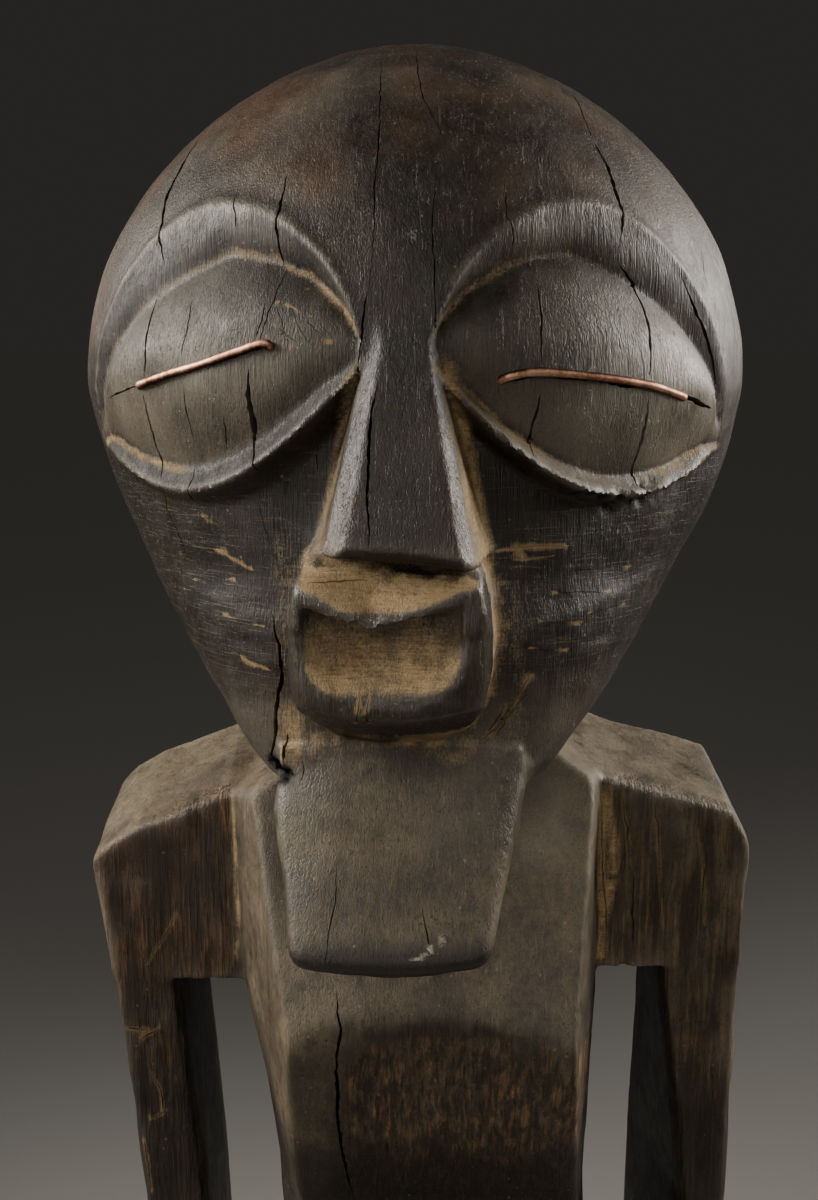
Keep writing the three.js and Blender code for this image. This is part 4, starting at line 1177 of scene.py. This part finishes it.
# The crests of each grain, which catch the light or hold a tone of their own.
light = {}
for label, low, high in (
    ("pore", 0.6, 0.72), ("fibre", 0.48, 0.7), ("stroke", 0.56, 0.7), ("scuff", 0.62, 0.72),
    ("splinter", 0.4, 0.68), ("cloud", 0.5, 0.6),
):
    light[label] = node(tree, "MapRange", {"Value": grain[label], "From Min": low, "From Max": high})

# Specks and motes of dust are drawn about 0.5 mm wide and the finest checks 0.2 mm, coarser
# than the real ones, so that they show at all.
for label, apart, core, rim, most in (("speck", 5.0, 0.05, 0.08, 0.8), ("mote", 2.4, 0.06, 0.12, 0.6)):
    scaled = node(tree, "Mapping", {"Vector": place, "Scale": [1.0 / (apart * MM)] * 3})
    cell = node(tree, "TexVoronoi", {"Vector": scaled, "Scale": 1.0}, out="Distance")
    light[label] = node(tree, "MapRange", {
        "Value": cell, "From Min": core, "From Max": rim, "To Min": most, "To Max": 0.0})
hairline = node(tree, "Math", {0: grain["hairline"], 1: 0.5, 2: 0.012}, operation="COMPARE")
hairline = node(tree, "Math", {0: hairline, 1: light["cloud"]}, operation="MULTIPLY")

# The share of each coat, from its mark on the vertices and from the grain. Torn wood stands
# up in splinters with dark gaps between. Dust clings to the fibres and the grit.
stroke_share = node(tree, "Math", {0: mark["scored"], 1: 0.4, 2: 0.12}, operation="MULTIPLY_ADD")
stroke = node(tree, "Math", {0: light["stroke"], 1: stroke_share}, operation="MULTIPLY")
brown_share = node(tree, "Math", {0: mark["brown"], 1: grain["cloud"]}, operation="MULTIPLY")
film_and_light_share = node(tree, "Math", {0: grain["cloud"], 1: 2.5, 2: -0.8}, operation="MULTIPLY_ADD")
film_and_light_share = node(tree, "Math", {0: grain["grit"], 1: 0.5, 2: film_and_light_share}, operation="MULTIPLY_ADD")
film_and_light_share = node(tree, "Math", {0: film_and_light_share, 1: mark["film_and_light"]}, operation="MULTIPLY", use_clamp=True)
clump = node(tree, "MapRange", {"Value": grain["cloud"], "From Min": 0.36, "From Max": 0.6, "To Min": 0.1})
splinter = node(tree, "Math", {0: light["splinter"], 1: clump}, operation="MULTIPLY")
splinter = node(tree, "Math", {0: splinter, 1: mark["torn"]}, operation="MULTIPLY")
gap = node(tree, "MapRange", {"Value": grain["streak"], "From Min": 0.56, "From Max": 0.44})
gap = node(tree, "Math", {0: gap, 1: mark["torn"]}, operation="MULTIPLY")
rub_and_highlight = node(tree, "Math", {0: grain["grit"], 1: 0.9, 2: 0.05}, operation="MULTIPLY_ADD")
rub_and_highlight = node(tree, "Math", {0: rub_and_highlight, 1: mark["rubbed_and_highlight"]}, operation="MULTIPLY", use_clamp=True)
cling = node(tree, "Math", {0: grain["fibre"], 1: grain["grit"]}, operation="ADD")
cling = node(tree, "Math", {0: cling, 1: 0.55, 2: -0.92}, operation="MULTIPLY_ADD")
clinging = {}
for label, gain in (("dust", 1.9), ("scratched", 1.9), ("splash", 2.2)):
    share = node(tree, "Math", {0: mark[label], 1: cling}, operation="ADD")
    clinging[label] = node(tree, "Math", {0: share, 1: gain}, operation="MULTIPLY", use_clamp=True)
patches = node(tree, "Math", {0: grain["grit"], 1: grain["stroke"]}, operation="ADD")
patches = node(tree, "Math", {0: patches, 1: 0.5, 2: grain["cloud"]}, operation="MULTIPLY_ADD")
patches = node(tree, "MapRange", {"Value": patches, "From Min": 0.78, "From Max": 1.2})
dust_tone = node(tree, "Mix", {
    0: patches, 6: linear("#614b2d"), 7: linear("#b09871")}, out=2, data_type="RGBA")

# Each coat of colour lies on the ones before it. From the wood outwards: worn brown with a painted
# shadow under the lip, torn splinters, tan film with painted light, gaps and fibres, pores,
# hairline checks, scuffs, rubbed edges with painted highlights, soot with painted shade, strokes,
# packed dust, scratches, specks, motes, splashes and the walls of the open checks, with the
# painted shade of the broken-out hole.
tone = node(tree, "ValToRGB", {0: grain["streak"]}, stops=[
    (0.36, "#0d0a07"), (0.76, "#3e3126"), (0.5, "#1c1713"), (0.62, "#2c231b")])
for share, strength, colour in (
    (brown_share, 1.0, "#4b3321"), (splinter, 0.95, "#986e44"), (film_and_light_share, 0.62, "#887a61"),
    (gap, 0.75, "#0c0806"), (light["fibre"], 0.12, "#6d5f4e"), (light["pore"], 0.6, "#080605"),
    (hairline, 0.7, "#140b07"), (light["scuff"], 0.22, "#83735a"), (rub_and_highlight, 0.5, "#a49a8c"),
    (mark["soot_and_shade"], 0.85, "#0d0906"), (stroke, 0.6, "#6b5839"), (clinging["dust"], 0.9, dust_tone),
    (clinging["scratched"], 0.8, "#8a7350"), (light["speck"], 0.4, "#8d8270"),
    (light["mote"], 0.3, "#8d8270"), (clinging["splash"], 0.75, "#b7b0a2"),
    (mark["check"], 1.0, "#060403"),
):
    if strength < 1.0:
        share = node(tree, "Math", {0: share, 1: strength}, operation="MULTIPLY")
    colour = linear(colour) if isinstance(colour, str) else colour
    tone = node(tree, "Mix", {0: share, 6: tone, 7: colour}, out=2, data_type="RGBA")

# Bare handled wood is satin. Dust, film and torn wood are duller, and polish is glossier.
sheen = node(tree, "Math", {0: grain["cloud"], 1: grain["fibre"]}, operation="ADD")
gloss = node(tree, "MapRange", {
    "Value": sheen, "From Min": 0.75, "From Max": 1.25, "To Min": 0.37, "To Max": 0.6})
for share, strength in (
    (clinging["dust"], 0.4), (film_and_light_share, 0.15), (mark["torn"], 0.1), (mark["polish"], -0.14),
    (mark["check"], 0.4),
):
    gloss = node(tree, "Math", {0: share, 1: strength, 2: gloss}, operation="MULTIPLY_ADD", use_clamp=True)

# The grain stands up a little, least where it is smooth and most where it is torn.
RELIEF_HEIGHT = 0.45
relief = node(tree, "Math", {0: grain["fibre"], 1: 0.45}, operation="MULTIPLY")
for share, strength in (
    (grain["streak"], 0.5), (grain["grit"], 0.1), (light["pore"], -0.08), (stroke, 0.15),
    (light["scuff"], 0.15), (splinter, 1.8), (gap, -1.0), (hairline, -0.4), (clinging["splash"], 0.3),
):
    relief = node(tree, "Math", {0: share, 1: strength, 2: relief}, operation="MULTIPLY_ADD")
bump = node(tree, "Bump", {"Strength": 0.75, "Distance": RELIEF_HEIGHT * MM, "Height": relief})
plug(tree, shader, {"Base Color": tone, "IOR": 1.43, "Roughness": gloss, "Normal": bump})
done.materials.clear()
done.materials.append(hardwood)
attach(wood, "root")
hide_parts("carved_figure")


# A copper wire lies pressed into the slit of each lid. It is soft drawn wire, bent by hand,
# with its ends pushed into the wood; on the figure's right the inner end curls in a hook.
WIRE_RADIUS = 0.86
WIRE_RING = 16
WIRE_STEPS = 90
WIRE_SEED = 70


def smooth_path(points, count):
    points = np.vstack([2 * points[0] - points[1], points, 2 * points[-1] - points[-2]])
    path = []
    for u in np.linspace(0.0, len(points) - 3 - 1e-6, count):
        i = int(u)
        t = u - i
        a, b, c, d = points[i:i + 4]
        bend = (2 * a - 5 * b + 4 * c - d) * t**2 + (3 * b - a - 3 * c + d) * t**3
        path.append(0.5 * (2 * b + (c - a) * t + bend))
    return np.array(path)


def wire_mesh(name, line, seed):
    rng = np.random.default_rng(seed)
    path = smooth_path(line, WIRE_STEPS)
    along = unit(np.gradient(path, axis=0))
    up = unit(gradient(path, 1.0))
    aside = unit(np.cross(along, up))
    up = np.cross(aside, along)
    ends = np.minimum(np.arange(len(path)), np.arange(len(path))[::-1])
    size = WIRE_RADIUS * np.sqrt(clamp((ends + 0.6) / 3.0))
    size = size * (1.0 + np.convolve(rng.normal(0.0, 0.09, len(path)), np.ones(5) / 5, "same"))
    around = np.linspace(0.0, 2.0 * math.pi, WIRE_RING, endpoint=False)
    ring = np.cos(around)[None, :, None] * aside[:, None, :]
    ring = ring + 0.95 * np.sin(around)[None, :, None] * up[:, None, :]
    rings = path[:, None, :] + size[:, None, None] * ring
    points = np.concatenate([rings.reshape(-1, 3), path[[0, -1]]])
    last = len(path) * WIRE_RING
    mesh = bpy.data.meshes.new(name)
    faces = []
    for a in range(0, last - WIRE_RING, WIRE_RING):
        b = a + WIRE_RING
        for j in range(WIRE_RING):
            k = (j + 1) % WIRE_RING
            faces.append((a + j, b + j, b + k, a + k))
    for j in range(WIRE_RING):
        k = (j + 1) % WIRE_RING
        faces.append((last, j, k))
        faces.append((last + 1, last - WIRE_RING + k, last - WIRE_RING + j))
    mesh.from_pydata((points * MM).tolist(), [], faces)
    mesh.polygons.foreach_set("use_smooth", np.ones(len(faces), dtype=bool))
    # The side turned out from the lid is paler: rubbed, and partly a painted highlight.
    worn_and_lit = np.tile(clamp(np.sin(around + 0.3)), len(path))
    worn_and_lit = worn_and_lit + np.repeat(np.convolve(rng.normal(0.0, 0.3, len(path)), np.ones(4) / 4, "same"), WIRE_RING)
    layer = mesh.attributes.new("worn_and_lit", "FLOAT", "POINT")
    layer.data.foreach_set("value", np.append(worn_and_lit, [0.0, 0.0]).astype(np.float32))
    return mesh


# Old copper: dark red-brown where it has tarnished, pink and bright where it is rubbed and along
# the side turned out from the lid, which is partly rubbed and partly a painted highlight, with a
# drawn wire's fine lines and small dents. A metal, so its colour is in its reflection.
TARNISH_SIZE = 0.6
copper, tree, shader = new_material("tarnished_copper_wire")
place = node(tree, "TexCoord", out="Object")
worn_and_lit = node(tree, "Attribute", out="Fac", attribute_name="worn_and_lit")
scaled = node(tree, "Mapping", {"Vector": place, "Scale": [1.0 / (TARNISH_SIZE * MM)] * 3})
tarnish = node(tree, "TexNoise", {"Vector": scaled, "Scale": 1.0, "Detail": 5.0, "Roughness": 0.7})
bright = node(tree, "Math", {0: tarnish, 1: 0.7, 2: -0.35}, operation="MULTIPLY_ADD")
bright = node(tree, "Math", {0: worn_and_lit, 1: 0.66, 2: bright}, operation="MULTIPLY_ADD", use_clamp=True)
tone = node(tree, "ValToRGB", {0: bright}, stops=[
    (0.08, "#2f1a13"), (1.0, "#e8c6ae"), (0.36, "#7a5140"), (0.66, "#cda086")])
gloss = node(tree, "MapRange", {"Value": bright, "To Min": 0.6, "To Max": 0.48})
bump = node(tree, "Bump", {"Strength": 0.25, "Distance": 0.1 * MM, "Height": tarnish})
plug(tree, shader, {"Base Color": tone, "Metallic": 1.0, "Roughness": gloss, "Normal": bump})

# Each wire is drawn by the distance round the head, the height and the lift off the lid.
WIRES = {
    "eye_wire_right": (-1, [
        (26.6, 591.2, -1.8), (26.0, 591.7, -0.3), (26.8, 592.3, 0.7), (29.0, 592.0, 0.8), (33.0, 590.8, 0.6),
        (41.0, 588.4, 0.6), (51.0, 585.9, 0.6), (58.0, 584.1, 0.6), (61.2, 583.3, 0.2), (62.4, 583.0, -1.3)]),
    "eye_wire_left": (1, [
        (20.8, 584.6, -1.9), (21.3, 585.3, -0.2), (23.6, 586.3, 0.5), (29.3, 586.9, 0.6), (42.7, 585.7, 0.5),
        (55.5, 583.8, 0.5), (63.0, 581.9, 0.5), (66.2, 581.0, 0.3), (67.6, 580.6, -1.0)]),
}
for name, (side, places) in WIRES.items():
    line = round_the_head(side, [place[:2] for place in places])
    line = line + unit(gradient(line)) * np.array([place[2] for place in places])[:, None]
    wire = put_in_scene(name.replace("wire", "copper"), wire_mesh(name, line, WIRE_SEED + side))
    wire.data.materials.append(copper)
    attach(wire, "root")
    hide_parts(name)


# The floor is a plain matt board that reaches 20 m each way. The light is soft: a broad lamp
# high on each side, one of them a little behind the figure, a weak one over the camera and two
# small ones low down. The room is dim level with the board's far edge, so that it doesn't show.
FLOOR_REACH = 20
corners = [(i * FLOOR_REACH, j * FLOOR_REACH, 0) for i, j in ((-1, -1), (1, -1), (1, 1), (-1, 1))]
floor_mesh = bpy.data.meshes.new("floor")
floor_mesh.from_pydata(corners, [], [(0, 1, 2, 3)])
floor = put_in_scene("floor", floor_mesh)
board, tree, shader = new_material("matt_grey_board")
plug(tree, shader, {"Base Color": linear("#aeacaa"), "Roughness": 0.85})
floor_mesh.materials.append(board)

# Each lamp has its place in metres, the height that it points at over the figure's middle, its
# spread in degrees, its size in metres and its power in watts.
LAMP_WARMTH = (1.0, 0.948, 0.86)
for name, place, aim, spread, size, power in (
    ("left_light", (-1.0, 0.0, 1.0), 0.55, 70.0, (0.6, 0.5), 4.7),
    ("right_light", (1.0, 0.3, 0.88), 0.55, 70.0, (0.6, 0.5), 4.1),
    ("front_light", (-0.15, -1.2, 1.3), 0.55, 70.0, (0.7, 0.5), 0.75),
    ("low_light", (-0.8, -0.5, 0.45), 0.55, 70.0, (0.3, 0.3), 0.2),
    ("trunk_light", (0.15, -1.0, 0.5), 0.3, 40.0, (0.4, 0.25), 0.18),
):
    data = bpy.data.lights.new(name, "AREA")
    data.shape = "RECTANGLE"
    data.size, data.size_y = size
    data.energy = power
    data.spread = math.radians(spread)
    data.color = LAMP_WARMTH
    lamp = put_in_scene(name, data)
    lamp.location = place
    lamp.rotation_euler = (Vector((0.0, 0.0, aim)) - Vector(place)).to_track_quat("-Z", "Y").to_euler()
DIM_ROOM = 0.0312
BRIGHT_ROOM = 0.078
world = bpy.data.worlds.new("room")
bpy.context.scene.world = world
world.use_nodes = True
tree = world.node_tree
sky = node(tree, "TexCoord", out="Generated")
height = node(tree, "SeparateXYZ", {0: sky}, out="Z")
strength = node(tree, "MapRange", {
    "Value": height, "From Min": 0.25, "From Max": 0.6, "To Min": DIM_ROOM, "To Max": BRIGHT_ROOM})
plug(tree, tree.nodes["Background"], {"Color": linear("#e6e1d8"), "Strength": strength})
